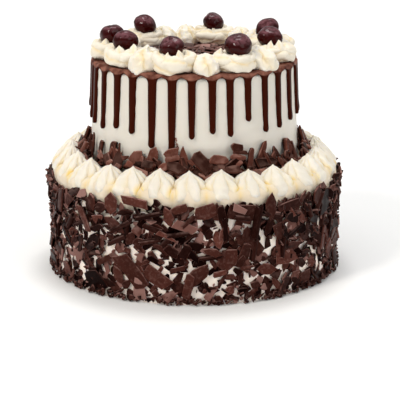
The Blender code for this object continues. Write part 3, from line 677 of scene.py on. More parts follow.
# (share of the height, share of the width)
BORDER_PROFILE = (
    (0.0, 0.88), (0.22, 1.02), (0.43, 1.05), (0.56, 1.01), (0.66, 0.91), (0.74, 0.77), (0.81, 0.60),
    (0.87, 0.43), (0.915, 0.27), (0.94, 0.17), (0.965, 0.10), (1.0, 0.03),
)
BORDER_DRAWS = (3, 3, 6, 2, 3, 4, 1, 2, 5, 3, 6, 1, 4, 2, 5, 3, 1, 6, 2, 4, 3, 5, 1, 6, 5, 2, 3, 1)
solid_draw = random.Random(3)
for i in range(BORDER_COUNT):
    draw = random.Random(BORDER_COUNT * BORDER_DRAWS[i] + i)
    angle = BORDER_TURN + 2 * math.pi * i / BORDER_COUNT
    tall, lean = solid_draw.uniform(0.93, 1.07), solid_draw.uniform(-0.0018, 0.0018)
    turn = solid_draw.uniform(-0.2, 0.2) + math.pi / 2
    unit, faces, crease = dollop(draw, BORDER_PROFILE, draw.choice((7, 8)), draw.uniform(0.25, 0.34),
                                 turn + draw.uniform(-0.35, 0.35), 0.25, BORDER_BOXY)
    rise = unit[:, 2]
    x, y = BORDER_HALF_WIDTH * unit[:, 0], BORDER_HALF_DEPTH * unit[:, 1]
    outward = np.clip(-y / BORDER_HALF_DEPTH, 0, None)
    belly = np.exp(-((rise - BORDER_BELLY) / BELLY_SPREAD) ** 2)
    y = y - BORDER_OVERHANG * outward * belly + BORDER_LEAN * rise ** 2
    x = x + (lean + draw.uniform(-0.0012, 0.0012)) * rise ** 3
    z = rise * (BORDER_HEIGHT * tall + BORDER_DROP) - BORDER_DROP
    points = np.stack((x, y, z), -1)
    points += 0.00045 * np.stack([lumps(points + i, 0.009, seed) for seed in (10, 11, 12)], -1)
    # Painted shade: a warm tint low in the pockets next to each neighbour, and in the creases, more so
    # towards the foot
    near_neighbour = np.clip((np.abs(unit[:, 0]) - 0.62) / 0.4, 0, 1)
    pocket = near_neighbour * np.exp(-((rise - POCKET_HEIGHT) / POCKET_SPREAD) ** 2) * np.clip(
        0.4 - unit[:, 1], 0, 1)
    crease = np.clip(0.5 * crease ** 1.3 * (0.4 + 0.6 * (1 - rise)) + POCKET_SHADE * pocket, 0, 1)
    points = stand(points, angle, BORDER_RING, LOWER_HEIGHT)
    make_piece(f"border_dollop_{i + 1:02d}", [(points, faces, {"crease": crease})], piped_cream,
               [f"border_shell_{i + 1:02d}"])
print("border:", BORDER_COUNT, "dollops of", COUNTS["border_dollop_01"], "triangles")

# %% [markdown]
# ## A rope of cream
# In a swirl the nozzle moves along, so its creases run along the cream and not up it. A rope is the
# star section swept along a path of points, standing square to the path at each of them. Blender
# can bevel a curve with a profile, but here the width changes along the way, swelling and narrowing
# as the hand goes to and fro, and each point also stores how deep in a crease it lies.

# %% A rope of cream
def rope(path, half_width, half_height, lobes, depth, turn, columns=46):
    """A star section swept along a path of points; the widths and heights are one number a point."""
    along = np.gradient(path, axis=0)
    along /= np.linalg.norm(along, axis=1, keepdims=True)
    side = np.cross(along, (0, 0, 1.0))
    side /= np.linalg.norm(side, axis=1, keepdims=True)
    up = np.cross(side, along)
    corner = np.linspace(0, 2 * math.pi, columns, endpoint=False)
    reach, crease = star(corner[None] + turn[:, None], lobes, depth)
    out = (half_width[:, None] * reach * np.cos(corner))[..., None] * side[:, None]
    over = (half_height[:, None] * reach * np.sin(corner))[..., None] * up[:, None]
    points = (path[:, None] + out + over).reshape(-1, 3)
    return points, grid_faces(len(path), columns), crease.ravel()


RUFFLE = 0.12


def ruffled(draw, swing, beats):
    """How the rope narrows and swells along its way, with the beat of the hand that pipes it."""
    beat = beats * swing + 1.4 * np.sin(1.7 * swing + draw.uniform(0, 6.3)) + draw.uniform(0, 6.3)
    return 1 - RUFFLE * (1 - 2 * np.abs(np.sin(beat / 2)) ** 0.8)


path, thin = np.linspace((0, 0, 0), (0.01, 0, 0), 5), np.full(5, 0.005)
print("a short rope has", len(rope(path, thin, thin, 4, 0.3, np.zeros(5))[0]), "points")

# %% [markdown]
# ## The spiral of a rosette
# A rosette is a rope of cream laid in a spiral, which starts outside, climbs and turns in, so that
# it makes a nest for the cherry. Three tables say how wide the spiral runs, how thick the rope is
# and how high it has climbed along its way, so that each can be changed by itself.

# %% The spiral of a rosette
# (share of the way, metres): the spiral's ring, its half width and how high it has climbed
SPIRAL_TURNS = 1.95
SPIRAL_RING = ((0, 0.0128), (0.46, 0.0122), (0.60, 0.0098), (0.86, 0.0084), (1, 0.0044))
SPIRAL_WIDTH = ((0, 0.0018), (0.04, 0.0058), (0.10, 0.0072), (0.45, 0.0070), (0.62, 0.0058), (1, 0.0042))
SPIRAL_CLIMB = ((0, 0.0), (0.46, 0.0002), (0.62, 0.0040), (0.86, 0.0046), (1, 0.0020))


def spiral(draw):
    """The twisted rope of a rosette, round the middle of its nest."""
    t = np.linspace(0, 1, 150)
    swing = draw.uniform(0, 6.3) + t * 2 * math.pi * SPIRAL_TURNS
    ring = curve_through(SPIRAL_RING, t)
    ring = ring * (1 + 0.06 * np.sin(2 * swing + draw.uniform(0, 6.3)))
    width = curve_through(SPIRAL_WIDTH, t)
    width = width * ruffled(draw, swing, 7.0)
    climb = curve_through(SPIRAL_CLIMB, t)
    path = np.stack((ring * np.cos(swing), ring * np.sin(swing), 0.90 * width + climb), -1)
    turn = draw.uniform(0, 1) + 2.6 * t + 0.6 * np.sin(1.3 * swing)
    return rope(path, width, width, 4, draw.uniform(0.28, 0.34), turn, 40)


print("a spiral has", len(spiral(random.Random(1))[0]), "points")

# %% [markdown]
# ## The folds and peaks of a rosette
# A real swirl isn't one even rope. Over the spiral lie long lens-shaped folds, almost level, that run
# out in a lifted end, and where the nozzle was pulled away small peaks lean on the cherry. One more
# peak, low and thick, fills the middle of the nest, so that the cherry sits on cream. Each is a short
# rope of its own, because a single rope can't both lie level and show so many ends.

# %% The folds and peaks of a rosette
PEAK_TAPER = ((0, 1.0), (0.4, 0.94), (0.7, 0.66), (0.88, 0.34), (0.96, 0.14), (1, 0.05))


def fold(draw, middle, sweep, ring, level, size):
    """A crescent round the nest: it starts from nothing, swells and runs out in a lifted end."""
    t = np.linspace(0, 1, 32)
    swing = middle + draw.choice((-1, 1)) * sweep * (t - 0.5)
    width = size * np.maximum(np.sin(math.pi * t), 0.03) ** 0.6
    width = width * ruffled(draw, swing, 6.0)
    reach = ring + 0.0010 * np.sin(math.pi * t)
    height = level + draw.uniform(-0.003, 0.003) * (t - 0.5) + 0.0045 * t ** 5
    path = np.stack((reach * np.cos(swing), reach * np.sin(swing), height), -1)
    turn = draw.uniform(0, 6.3) + draw.uniform(-1.2, 1.2) * t
    return rope(path, width, 0.9 * width, 4, 0.32, turn, 28)


def peak(draw, middle, ring, height, size):
    """A small peak where the nozzle was pulled away, leaning on the cherry."""
    t = np.linspace(0, 1, 18)
    width = curve_through(PEAK_TAPER, t) * size
    reach = ring - 0.0018 * t ** 2
    swing = middle + draw.uniform(-0.25, 0.25) * t ** 2
    path = np.stack((reach * np.cos(swing), reach * np.sin(swing), 0.005 + (height - 0.005) * t), -1)
    return rope(path, width, width, 4, 0.24, np.full(18, draw.uniform(0, 6.3)), 28)


def rosette(draw, facing):
    """A swirled nest round its own middle: a spiral, four folds, five peaks and a filled middle."""
    parts = [spiral(draw)]
    for k in range(4):
        middle = facing + 2 * math.pi * k / 4 + draw.uniform(-0.5, 0.5)
        parts.append(fold(draw, middle, draw.uniform(1.8, 2.7), draw.uniform(0.0120, 0.0136),
                          draw.uniform(0.0068, 0.0104), draw.uniform(0.0062, 0.0080)))
    for k in range(5):
        middle = facing + 2 * math.pi * (k + 0.5) / 5 + draw.uniform(-0.4, 0.4)
        parts.append(peak(draw, middle, draw.uniform(0.0112, 0.0132), draw.uniform(0.0155, 0.0204),
                          draw.uniform(0.0044, 0.0070)))
    parts.append(peak(draw, facing, 0.0010, 0.0112, 0.0072))
    return parts


print("a rosette has", len(rosette(random.Random(1), 0.0)), "parts")

# %% [markdown]
# ## The eight rosettes
# The rosettes stand in a ring near the rim, not quite evenly, one for each cherry. Cream is soft, so
# it settles: it lies flat on the glaze, and where it passes the rim it sags. Each rosette was drawn
# with several numbers, and one was picked for its likeness to the real swirl. The swirls at
# the back show only in part, so the likeness there is a guess.

# %% The eight rosettes
WREATH_RING, SAGS_FROM = 0.0735, 0.0865
# (angle of the rosette, then of its cherry the angle, the ring, the radius and its middle over the glaze)
ROSETTES = (
    (-140.0, -137.0, 0.0672, 0.0102, 0.0205), (-84.0, -85.0, 0.0735, 0.0110, 0.0204),
    (-53.5, -57.5, 0.0705, 0.0106, 0.0198), (-12.5, -15.9, 0.0696, 0.0108, 0.0196),
    (27.0, 30.8, 0.0740, 0.0120, 0.0206), (73.0, 76.5, 0.0690, 0.0108, 0.0200),
    (109.0, 109.1, 0.0706, 0.0108, 0.0206), (165.0, 165.2, 0.0695, 0.0100, 0.0204),
)
ROSETTE_DRAWS = (3, 6, 3, 7, 2, 7, 2, 8)


def settled(points, angle):
    """Cream at its place on the glaze, sagging a little where it passes the rim."""
    points[:, 2] = np.maximum(points[:, 2], 0.0)
    points = stand(points, angle, WREATH_RING, GLAZE_TOP)
    past_rim = np.clip(np.hypot(points[:, 0], points[:, 1]) - SAGS_FROM, 0, None)
    points[:, 2] -= 0.45 * past_rim * np.exp(-(points[:, 2] - GLAZE_TOP) / 0.006)
    return points


for i, (degrees, *_) in enumerate(ROSETTES):
    draw, parts = random.Random(8 * ROSETTE_DRAWS[i] + i), []
    for points, faces, crease in rosette(draw, -math.pi / 2):
        points = points + 0.0004 * np.stack([lumps(points + i, 0.011, seed) for seed in (20, 21, 22)], -1)
        points = settled(points, math.radians(degrees))
        # The crease number gives the folds a painted warm shade in their creases
        parts.append((points, faces, {"crease": 0.55 * crease}))
    make_piece(f"rosette_cream_{i + 1}", parts, swirled_cream, [f"rosette_{i + 1}"])
print("rosettes:", len(ROSETTES), "of", COUNTS["rosette_cream_1"], "triangles")

# %% [markdown]
# ## The dollops of the wreath
# Between the rosettes stand star dollops, one or two to a gap, pressed together so that the wreath
# has no holes. They are longer across the ring than along it. The one at the front shows two tall
# lobes with a sharp crease between them. The function that made the border's dollops makes these
# too, with fewer lobes and a slimmer profile.

# %% The dollops of the wreath
# (degrees from the front, radius and height in metres)
DOLLOPS = (
    (-174.2, 0.0098, 0.0175), (-157.4, 0.0098, 0.0180), (-119.5, 0.0098, 0.0178), (-104.0, 0.0098, 0.0170),
    (-32.5, 0.0112, 0.0205), (7.2, 0.0108, 0.0165), (47.0, 0.0122, 0.0180), (91.0, 0.0098, 0.0205),
    (129.5, 0.0098, 0.0180), (145.5, 0.0098, 0.0175),
)
DOLLOP_DRAWS = (2, 4, 4, 4, 3, 6, 5, 2, 8, 8)
DOLLOP_STRETCH, PRESS = 1.35, 1.2
DOLLOP_PROFILE = ((0.0, 0.90), (0.2, 1.04), (0.45, 0.98), (0.66, 0.80), (0.80, 0.56), (0.90, 0.30),
                  (0.96, 0.12), (1.0, 0.03))
for i, (degrees, radius, height) in enumerate(DOLLOPS):
    draw = random.Random(10 * DOLLOP_DRAWS[i] + i)
    turn, height = draw.uniform(-0.25, 0.25), height * draw.uniform(0.97, 1.03)
    unit, faces, crease = dollop(draw, DOLLOP_PROFILE, 5, 0.34, turn + math.pi, 0.5)
    points = unit * (PRESS * radius, DOLLOP_STRETCH * PRESS * radius, height)
    points[:, 0] += draw.uniform(-0.0015, 0.0015) * unit[:, 2] ** 2
    points += 0.0006 * np.stack([lumps(points + i, 0.007, seed) for seed in (30, 31, 32)], -1)
    points[:, 1] -= 0.0022 * np.clip(-unit[:, 1], 0, 1) * (1 - unit[:, 2])
    points = settled(points, math.radians(degrees))
    # The crease number gives the dollop a painted warm shade in its creases
    make_piece(f"wreath_dollop_{i + 1:02d}", [(points, faces, {"crease": 0.5 * crease})], piped_cream,
               [f"dollop_{i + 1:02d}"])
print("dollops:", len(DOLLOPS))

# %% [markdown]
# ## Finish: dark chocolate, shaved and broken
# Shavings are scraped or broken from a block, so each has flat, slightly waxy faces with fine lines
# along the scrape and a duller, lighter skin where cocoa butter has bloomed. Every flake gets its
# own tone, from nearly black to milky brown, stored on its points, and its own coordinates, so that
# the scrape lines run along it. The faces that look up are painted paler in patches: a painted sheen
# for the light they catch from above. Real scrape lines are 0.1 mm apart; here they are 0.7 mm,
# which is as fine as the render shows. The IOR of 1.50 lies between cocoa butter and sugar; the
# specular level is low and its tint is warm, because a broken face scatters most of its reflection,
# and what is left looks brown, not grey.

# %% Dark chocolate, shaved and broken
def shaved_chocolate(name, dark, light, bloom_and_sheen_colour, roughness, shine, top_sheen):
    """Chocolate flakes between two tones, scrape lines along each, a bloomed skin, painted sheen on top
    faces.
    """
    material, tree, output = new_material(name)
    tone = add(tree, "ShaderNodeAttribute", attribute_name="tone").outputs["Fac"]
    own = add(tree, "ShaderNodeAttribute", attribute_name="own").outputs["Vector"]

    # The flake's own colour, a little worn in clouds
    colour = add(tree, "ShaderNodeMix", {0: tone, 6: linear(dark), 7: linear(light)}, data_type="RGBA")
    cloud = add(tree, "ShaderNodeTexNoise", {"Vector": own, "Scale": 150.0, "Detail": 2.0})
    worn = add(tree, "ShaderNodeMapRange", {"Value": cloud.outputs["Fac"], "From Min": 0.3,
                                            "From Max": 0.7, "To Min": 0.82, "To Max": 1.12})
    mottled = add(tree, "ShaderNodeMix", {0: 1.0, 6: colour.outputs[2], 7: worn.outputs[0]},
                  data_type="RGBA", blend_type="MULTIPLY")

    # Bloom: specks on light flakes, and a chalky skin on the few that have bloomed all over
    dust = add(tree, "ShaderNodeTexNoise", {"Vector": own, "Scale": 420.0, "Detail": 3.0})
    dusty = add(tree, "ShaderNodeMapRange", {"Value": dust.outputs["Fac"], "From Min": 0.50,
                                             "From Max": 0.80, "To Max": 0.25})
    bloomed = add(tree, "ShaderNodeMath", {0: dusty.outputs[0], 1: tone}, operation="MULTIPLY")
    chalky = add(tree, "ShaderNodeMapRange", {"Value": tone, "From Min": 1.0, "From Max": 1.5,
                                              "To Max": 0.5})

    # Painted sheen: faces that look up are paler in patches, for the light they catch from above, and less
    # so on the darkest flakes
    facing = add(tree, "ShaderNodeSeparateXYZ", {0: add(tree, "ShaderNodeNewGeometry").outputs["Normal"]})
    facing_up_sheen = add(tree, "ShaderNodeMapRange", {"Value": facing.outputs["Z"], "From Min": 0.20,
                                                "From Max": 0.8, "To Max": top_sheen})
    patchy = add(tree, "ShaderNodeMapRange", {"Value": cloud.outputs["Fac"], "From Min": 0.38,
                                              "From Max": 0.60, "To Min": 0.12, "To Max": 1.0})
    kept = add(tree, "ShaderNodeMapRange", {"Value": tone, "To Min": 0.30, "To Max": 1.0})
    patch = add(tree, "ShaderNodeMath", {0: patchy.outputs[0], 1: kept.outputs[0]}, operation="MULTIPLY")
    painted_sheen = add(tree, "ShaderNodeMath", {0: facing_up_sheen.outputs[0], 1: patch.outputs[0]}, operation="MULTIPLY")
    bloom_and_sheen = add(tree, "ShaderNodeMath", {0: bloomed.outputs[0], 1: painted_sheen.outputs[0]}, operation="MAXIMUM")
    pale = add(tree, "ShaderNodeMath", {0: bloom_and_sheen.outputs[0], 1: chalky.outputs[0]}, operation="MAXIMUM")
    skin = add(tree, "ShaderNodeMix", {0: pale.outputs[0], 6: mottled.outputs[2], 7: linear(bloom_and_sheen_colour)},
               data_type="RGBA")

    # Scrape lines along the flake, as bump and as a change between waxy and dull
    stretched = add(tree, "ShaderNodeMapping", {"Vector": own, "Scale": (160.0, 1400.0, 400.0)})
    lines = add(tree, "ShaderNodeTexNoise", {"Vector": stretched.outputs[0], "Scale": 1.0, "Detail": 2.0})
    waxy = add(tree, "ShaderNodeMapRange", {"Value": lines.outputs["Fac"], "To Min": roughness - 0.08,
                                            "To Max": roughness + 0.12})
    bump = add(tree, "ShaderNodeBump", {"Height": lines.outputs["Fac"], "Strength": 0.5,
                                        "Distance": 0.0003})
    surface = add(tree, "ShaderNodeBsdfPrincipled", {
        "Base Color": skin.outputs[2], "Roughness": waxy.outputs[0], "IOR": 1.50,
        "Specular IOR Level": shine, "Specular Tint": linear("#D9A696"), "Normal": bump.outputs["Normal"]})
    tree.links.new(surface.outputs[0], output.inputs["Surface"])
    return material


side_chocolate = shaved_chocolate("dark_chocolate_shaved", "#0C0000", "#583028", "#BC958C",
                                  roughness=0.36, shine=0.05, top_sheen=0.62)
foot_chocolate = shaved_chocolate("dark_chocolate_broken", "#140200", "#774539", "#BE9588",
                                  roughness=0.38, shine=0.05, top_sheen=0.68)
print("made", side_chocolate.name, "and", foot_chocolate.name)

# %% [markdown]
# ## The outlines of flakes
# Chocolate breaks along straight lines, so a flake is an angular outline of four to six corners. Six
# outlines cover what the cake shows: shards, wedges, leaves with two points, planks, splinters and
# logs. How the points of a flake join to faces depends only on the number of its corners, so the
# faces are worked out once for each number and then kept for the thousands that follow.

# %% The outlines of flakes
OUTLINES = {
    "shard": ((-0.50, -0.20), (-0.06, -0.50), (0.50, -0.32), (0.30, 0.44), (-0.36, 0.50)),
    "wedge": ((-0.50, -0.50), (0.50, -0.16), (0.36, 0.34), (-0.34, 0.50)),
    "leaf": ((-0.50, 0.0), (-0.20, -0.44), (0.16, -0.46), (0.50, 0.02), (0.14, 0.48), (-0.24, 0.42)),
    "plank": ((-0.50, -0.46), (0.42, -0.50), (0.50, 0.40), (-0.40, 0.50)),
    "splinter": ((-0.50, -0.50), (0.50, -0.06), (0.44, 0.22), (-0.40, 0.50)),
    "log": ((-0.50, -0.10), (-0.40, -0.46), (0.34, -0.50), (0.50, -0.14), (0.46, 0.34), (-0.30, 0.50)),
}
# The width of each kind, as a share of its length
SLENDER = {"shard": (0.50, 0.95), "wedge": (0.40, 0.80), "leaf": (0.40, 0.60), "plank": (0.28, 0.60),
           "splinter": (0.18, 0.36), "log": (0.30, 0.50)}
FLAKE_FACES = {}


def flake_faces(corners):
    """The faces of a flake: a fan on top, a bevel, an upright edge and the underside."""
    if corners not in FLAKE_FACES:
        ring = np.arange(corners)
        following = (ring + 1) % corners
        fan = np.stack((np.full(corners, 3 * corners), ring, following), -1)
        bevel = np.stack((ring, ring + corners, following + corners, following), -1)
        edge = bevel + corners
        FLAKE_FACES[corners] = [fan, np.concatenate((bevel, edge)), (2 * corners + ring[::-1])[None]]
    return FLAKE_FACES[corners]


print("outlines:", ", ".join(OUTLINES))

# %% [markdown]
# ## A flake
# The outline gets chipped edges and a thickness. A narrow bevel round the upper face catches the
# light, and a slight bend and a middle a little off the plane keep the face from being dead flat, as
# in broken chocolate. One flake copied everywhere would show at once as a pattern, so each is drawn
# anew.

# %% A flake
def flake(draw, kinds, sizes, thickness, width=None):
    """A flake round its middle: X along it, Y across it, Z out of its upper face."""
    kind, length = draw.choice(kinds), draw.uniform(*sizes)
    slender, thick = draw.uniform(*SLENDER[kind]), draw.uniform(*thickness)
    width = width or length * slender

    # The outline, uneven, with one chipped point in each edge
    outline = np.array(OUTLINES[kind])
    outline = outline * np.array([(draw.uniform(0.78, 1.12), draw.uniform(0.78, 1.12)) for _ in outline])
    following = np.roll(outline, -1, 0)
    edge = following - outline
    chipped = np.array([draw.uniform(-0.03, 0.09) for _ in outline])[:, None] * edge[:, ::-1] * (1, -1)
    share = np.array([draw.uniform(0.35, 0.65) for _ in outline])[:, None]
    outline = np.stack((outline, outline + share * edge + chipped), 1).reshape(-1, 2)
    if draw.random() < 0.5:
        outline = outline[::-1] * (1, -1)
    outline = outline * (length, width)

    # Its rings: inside the bevel, the edge above, the edge below, and the middle
    middle, inset = outline.mean(0), min(0.34 * thick, 0.09 * width)
    arm = outline - middle
    inner = middle + arm * (1 - inset / np.maximum(np.linalg.norm(arm, axis=1), 2 * inset))[:, None]
    flat = np.concatenate((inner, outline, middle + arm * draw.uniform(0.84, 1.0), middle[None]))
    count = len(outline)
    rise = np.concatenate((np.full(count, 0.5), np.full(count, 0.5 - 0.8 * inset / thick),
                           np.full(count, -0.5), [0.5 + draw.uniform(-0.1, 0.15)])) * thick

    # A taper along it, and a bend each way
    rise = rise * (1 + draw.uniform(-0.5, 0.5) * flat[:, 0] / length)
    bent_along, bent_across = draw.gauss(0, 0.08), draw.gauss(0, 0.10)
    rise = rise - bent_along / length * flat[:, 0] ** 2 - bent_across / width * flat[:, 1] ** 2
    points = np.concatenate((flat, rise[:, None]), 1)
    # Painted light on each ring: 1 gives the upper edge a painted highlight, -1 gives the underside painted
    # shade
    lit = np.concatenate((np.zeros(count), np.ones(count), -np.ones(count), np.zeros(1)))
    return points, flake_faces(count), lit


print("a shard has", len(flake(random.Random(1), ("shard",), (0.01, 0.02), (0.001, 0.002))[0]), "points")

# %% [markdown]
# ## A curl
# A curl is a thin sheet rolled round itself, as a peeler makes it. A tube would be quicker, but has
# no loose end. So it is made as two grids along one spiral, an outer and an inner skin 0.7 mm apart,
# joined at their four edges, which shows how thin it is. The ends are cut a little askew.

# %% A curl
def curl(draw, lengths, radii):
    """A rolled shaving round its middle, its axis along X."""
    length, radius = draw.uniform(*lengths), draw.uniform(*radii)
    turns, thickness, around, along = draw.uniform(1.3, 1.9), 0.0007, 26, 4
    t = np.linspace(0, 1, around)
    reach = radius * (0.42 + 0.58 * t)
    swing = 2 * math.pi * turns * t + draw.uniform(0, 6.3)
    layers = []
    for inwards in (0.0, thickness):
        for x in np.linspace(-0.5, 0.5, along):
            askew = length * (x + 0.05 * np.sin(3 * swing + 5 * x))
            layers.append(np.stack((askew, (reach - inwards) * np.cos(swing),
                                    (reach - inwards) * np.sin(swing)), -1))
    row, column = np.meshgrid(np.arange(along - 1), np.arange(around - 1), indexing="ij")
    near = row * around + column
    skin = along * around
    outer = np.stack((near, near + 1, near + around + 1, near + around), -1).reshape(-1, 4)
    inner = outer[:, ::-1] + skin
    column = np.arange(around - 1)
    first = np.stack((column, column + skin, column + 1 + skin, column + 1), -1)
    last = first[:, ::-1] + (along - 1) * around
    row = np.arange(along - 1) * around
    sides = [np.stack((row + c, row + around + c, row + around + c + skin, row + c + skin), -1)
             for c in (0, around - 1)]
    points = np.concatenate(layers)
    faces = [np.concatenate((outer, inner, first, last, sides[0], sides[1][:, ::-1]))]
    return points, faces, np.zeros(len(points))


print("a curl has", len(curl(random.Random(1), (0.01, 0.02), (0.002, 0.003))[0]), "points")

# %% [markdown]
# ## The tone of a flake
# Most flakes are dark, some are milky, and about one in seven has bloomed. The broken edge of a flake
# is painted paler than its faces, a painted highlight where the rough edge catches the light, and its
# underside is painted darker, a painted shade. A flake's own coordinates are moved by its tone, so
# that no two flakes have the same scrape lines.

# %% The tone of a flake
EDGE_LIGHT_AND_SHADE, BLOOMED_SHARE = 0.46, 0.15


def toned(part, points, tone):
    """A placed flake or curl: its tone, with painted light on its edge and shade below, and its own
    coordinates.
    """
    own, faces, lit = part
    return points, faces, {"tone": tone + EDGE_LIGHT_AND_SHADE * lit, "own": own + 10 * tone}


def drawn_tone(draw, lightest=1.0):
    """How light a flake is, from 0 for nearly black to 1.5 for bloomed all over."""
    if draw.random() < 1 - BLOOMED_SHARE:
        return lightest * draw.random() ** 2.3
    return draw.uniform(0.9, 1.5)


draw = random.Random(1)
print("ten tones:", sorted(round(drawn_tone(draw), 2) for _ in range(10)))

# %% [markdown]
# ## Where the coat of shavings may reach
# The coat on the lower tier is pressed on by hand, so it lies in layers: flat flakes in the cream,
# chips between them, then the large ones on top. Low on the side they lie flat, with angular slits
# of cream between them. Towards the top they were pressed less, so they stand out, and the highest
# overlap the border. One function lays any flake on the side and keeps it between the floor, the
# uneven upper edge of the coat and the radius that the solid model allows.

# %% Where the coat of shavings may reach
COAT_TOP = 0.0865
# (height, radius) in metres
COAT_REACH = ((0.0, 0.1348), (0.05, 0.1342), (0.072, 0.1352), (0.088, 0.1366), (0.1, 0.1360))


def coat_limit(height):
    """The radius that the coat stays inside: it flares near its upper edge."""
    return curve_through(COAT_REACH, height)


def coat_edge(angle):
    """How high the coat reaches at an angle, uneven as handfuls are."""
    place = np.array([[math.cos(angle), math.sin(angle), 0.0]])
    return COAT_TOP + 0.0020 * float(lumps(place, 0.35, 51)[0])


def pressed_on(part, draw, angle, height, out, spin, tilt, tone, above=0.0015, further=0.0):
    """Lay a flake on the side: turned in its plane, tilted a little, kept within the coat."""
    place = (standing_frame(angle, LOWER_RADIUS + out, height)
             @ Matrix.Rotation(math.radians(90 + draw.gauss(0, tilt)), 4, "X")
             @ Matrix.Rotation(math.radians(draw.gauss(0, 0.8 * tilt)), 4, "Y")
             @ Matrix.Rotation(spin, 4, "Z"))
    points = moved(part[0], place)
    points[:, 2] -= max(0.0, points[:, 2].max() - coat_edge(angle) - above)
    points[:, 2] += max(0.0, 0.0004 - points[:, 2].min())
    radius = np.hypot(points[:, 0], points[:, 1])
    excess = max(0.0, (radius - coat_limit(points[:, 2])).max() - further)
    points[:, :2] *= ((radius - excess) / radius)[:, None]
    return toned(part, points, tone)


edges = [1000 * coat_edge(a / 9) for a in range(57)]
print("the coat reaches", round(min(edges)), "to", round(max(edges)), "mm high")

# %% [markdown]
# ## The pieces that catch the eye
# Some pieces at the front are larger than the rest, and give the coat its face: long planks broken
# off a sheet, upright leaves over the edge, and five dark rolls. They are listed one by one. They
# lie on top, so the smaller flakes keep clear of them, and one function says where that is.

# %% The pieces that catch the eye, listed
# (outline, degrees from the front, height, length, width, turn in degrees, out, tone), sizes in mm
BOLD_PIECES = (
    ("plank", -23.8, 27.4, 41, 14, -47, 3.2, 0.42), ("plank", -13.8, 24.5, 27, 14, -30, 2.6, 0.60),
    ("plank", -45.1, 67.4, 27, 8, -52, 5, 0.70), ("leaf", -31.7, 86.2, 22.5, 13, 90, 4.6, 0.75),
    ("plank", -21.6, 89.2, 27, 8.5, -7, 4.4, 0.80), ("leaf", 29.2, 86.5, 25, 13, 88, 4.4, 0.35),
    ("wedge", 16.9, 84.6, 16, 8, -22, 5.2, 1.30), ("leaf", -9.3, 79, 20, 9.5, -72, 4.4, 0.75),
    ("plank", -2.9, 70.2, 22, 9, -22, 4.4, 1.15), ("splinter", -9.9, 61.5, 21, 5.5, -25, 4.4, 0.95),
    ("plank", 22.4, 52.5, 30, 10.5, -54, 3, 0.30), ("shard", 5, 83.5, 21, 15, 20, 3, 0.60),
    ("splinter", 9.6, 80, 27, 7.5, 112, 4, 0.25), ("plank", 17.6, 80.5, 29, 15, -12, 2.6, 0.30),
    ("leaf", -41, 84, 17, 8, 105, 4.6, 0.40), ("leaf", -36.2, 81.5, 15, 8, 8, 4.2, 0.25),
    ("leaf", 41.5, 85, 13, 5, 95, 4.4, 0.25), ("leaf", 44.5, 85.5, 14, 5.5, 60, 4.4, 0.40),
    ("plank", -62, 74, 24, 10, 80, 4.6, 0.45), ("leaf", 53, 84, 20, 13, 84, 5, 0.35),
    ("shard", 1.5, 27, 24, 15, 35, 2.6, 0.45), ("shard", 12.5, 40.5, 22, 17, 70, 2.6, 0.50),
    ("plank", -2.2, 16, 26, 9, 78, 3.4, 0.60), ("leaf", 6.8, 48, 22, 7.5, -18, 4.2, 0.55),
    ("leaf", -29.5, 21.5, 19, 10, -62, 2.6, 0.60), ("leaf", -24, 57.5, 14, 10, 60, 3.6, 0.30),
    ("leaf", -42.3, 81.4, 12.2, 6.1, -60, 4.4, 0.20), ("leaf", -37.3, 78.1, 11.3, 7, 10, 4, 0.15),
    ("wedge", -38.2, 69.8, 14.8, 7.8, 25, 4.2, 0.80), ("log", -38.3, 61.4, 15.7, 5.2, 28, 5.2, 0.08),
    ("leaf", -13.2, 84.8, 7.8, 3.5, -50, 4.4, 0.15), ("shard", -5, 86, 14.8, 7.8, 20, 4.2, 0.55),
    ("shard", -20.7, 53.7, 11.3, 9.6, 60, 3.2, 0.30), ("leaf", -26, 15.2, 11.3, 7.8, 60, 2.6, 0.30),
    ("shard", -41.9, 18.6, 12.2, 8.7, 80, 2.8, 0.15), ("plank", -35.6, 33.8, 17.4, 5.2, 30, 3.6, 0.40),
    ("log", 10.1, 80.2, 18.3, 7, 100, 4.6, 0.08), ("plank", 28.8, 66.8, 14.8, 6.1, 70, 4.2, 0.12),
    ("log", 6.9, 44.2, 20, 6.1, 15, 3.6, 0.08), ("plank", 9.6, 28.9, 13, 5.2, 12, 3.4, 0.85),
    ("splinter", 36.1, 18.2, 8.7, 3, 55, 3.6, 1.10), ("shard", -8.1, 47.6, 13.9, 9.6, -30, 3, 0.12),
    ("wedge", 17.3, 37.2, 13.9, 8.7, 60, 3, 0.25), ("shard", 44.8, 26.7, 13, 8.7, -40, 3.2, 0.15),
    ("leaf", 23.5, 15.8, 12.2, 7, -20, 2.8, 0.30), ("plank", -15.6, 67.6, 17.4, 5.2, -14, 4, 0.18),
)
# (degrees from the front, height, length, radius, turn in degrees, out, tone), sizes in mm
BOLD_ROLLS = (
    (-16.4, 79, 24, 2.7, 16, 5.4, 0.08), (23.7, 71.5, 28, 4.3, 78, 4.6, 0.12),
    (-27.5, 66.5, 24, 2.6, 30, 5.2, 0.20), (-5.5, 64, 18, 2.4, 8, 5, 0.10),
    (11.5, 68, 19, 2.6, 96, 4.8, 0.05),
)


def under_bold_piece(angle, height):
    """Whether a place on the side is covered by one of the listed pieces."""
    angle = (angle + math.pi) % (2 * math.pi) - math.pi
    for _, degrees, level, length, width, turn, _, _ in BOLD_PIECES:
        along, up = 1000 * LOWER_RADIUS * (angle - math.radians(degrees)), 1000 * height - level
        c, s = math.cos(math.radians(turn)), math.sin(math.radians(turn))
        if abs(along * c + up * s) < 0.5 * length + 1 and abs(up * c - along * s) < 0.5 * width + 2.5:
            return True
    return False


print("listed pieces:", len(BOLD_PIECES), "and rolls:", len(BOLD_ROLLS))

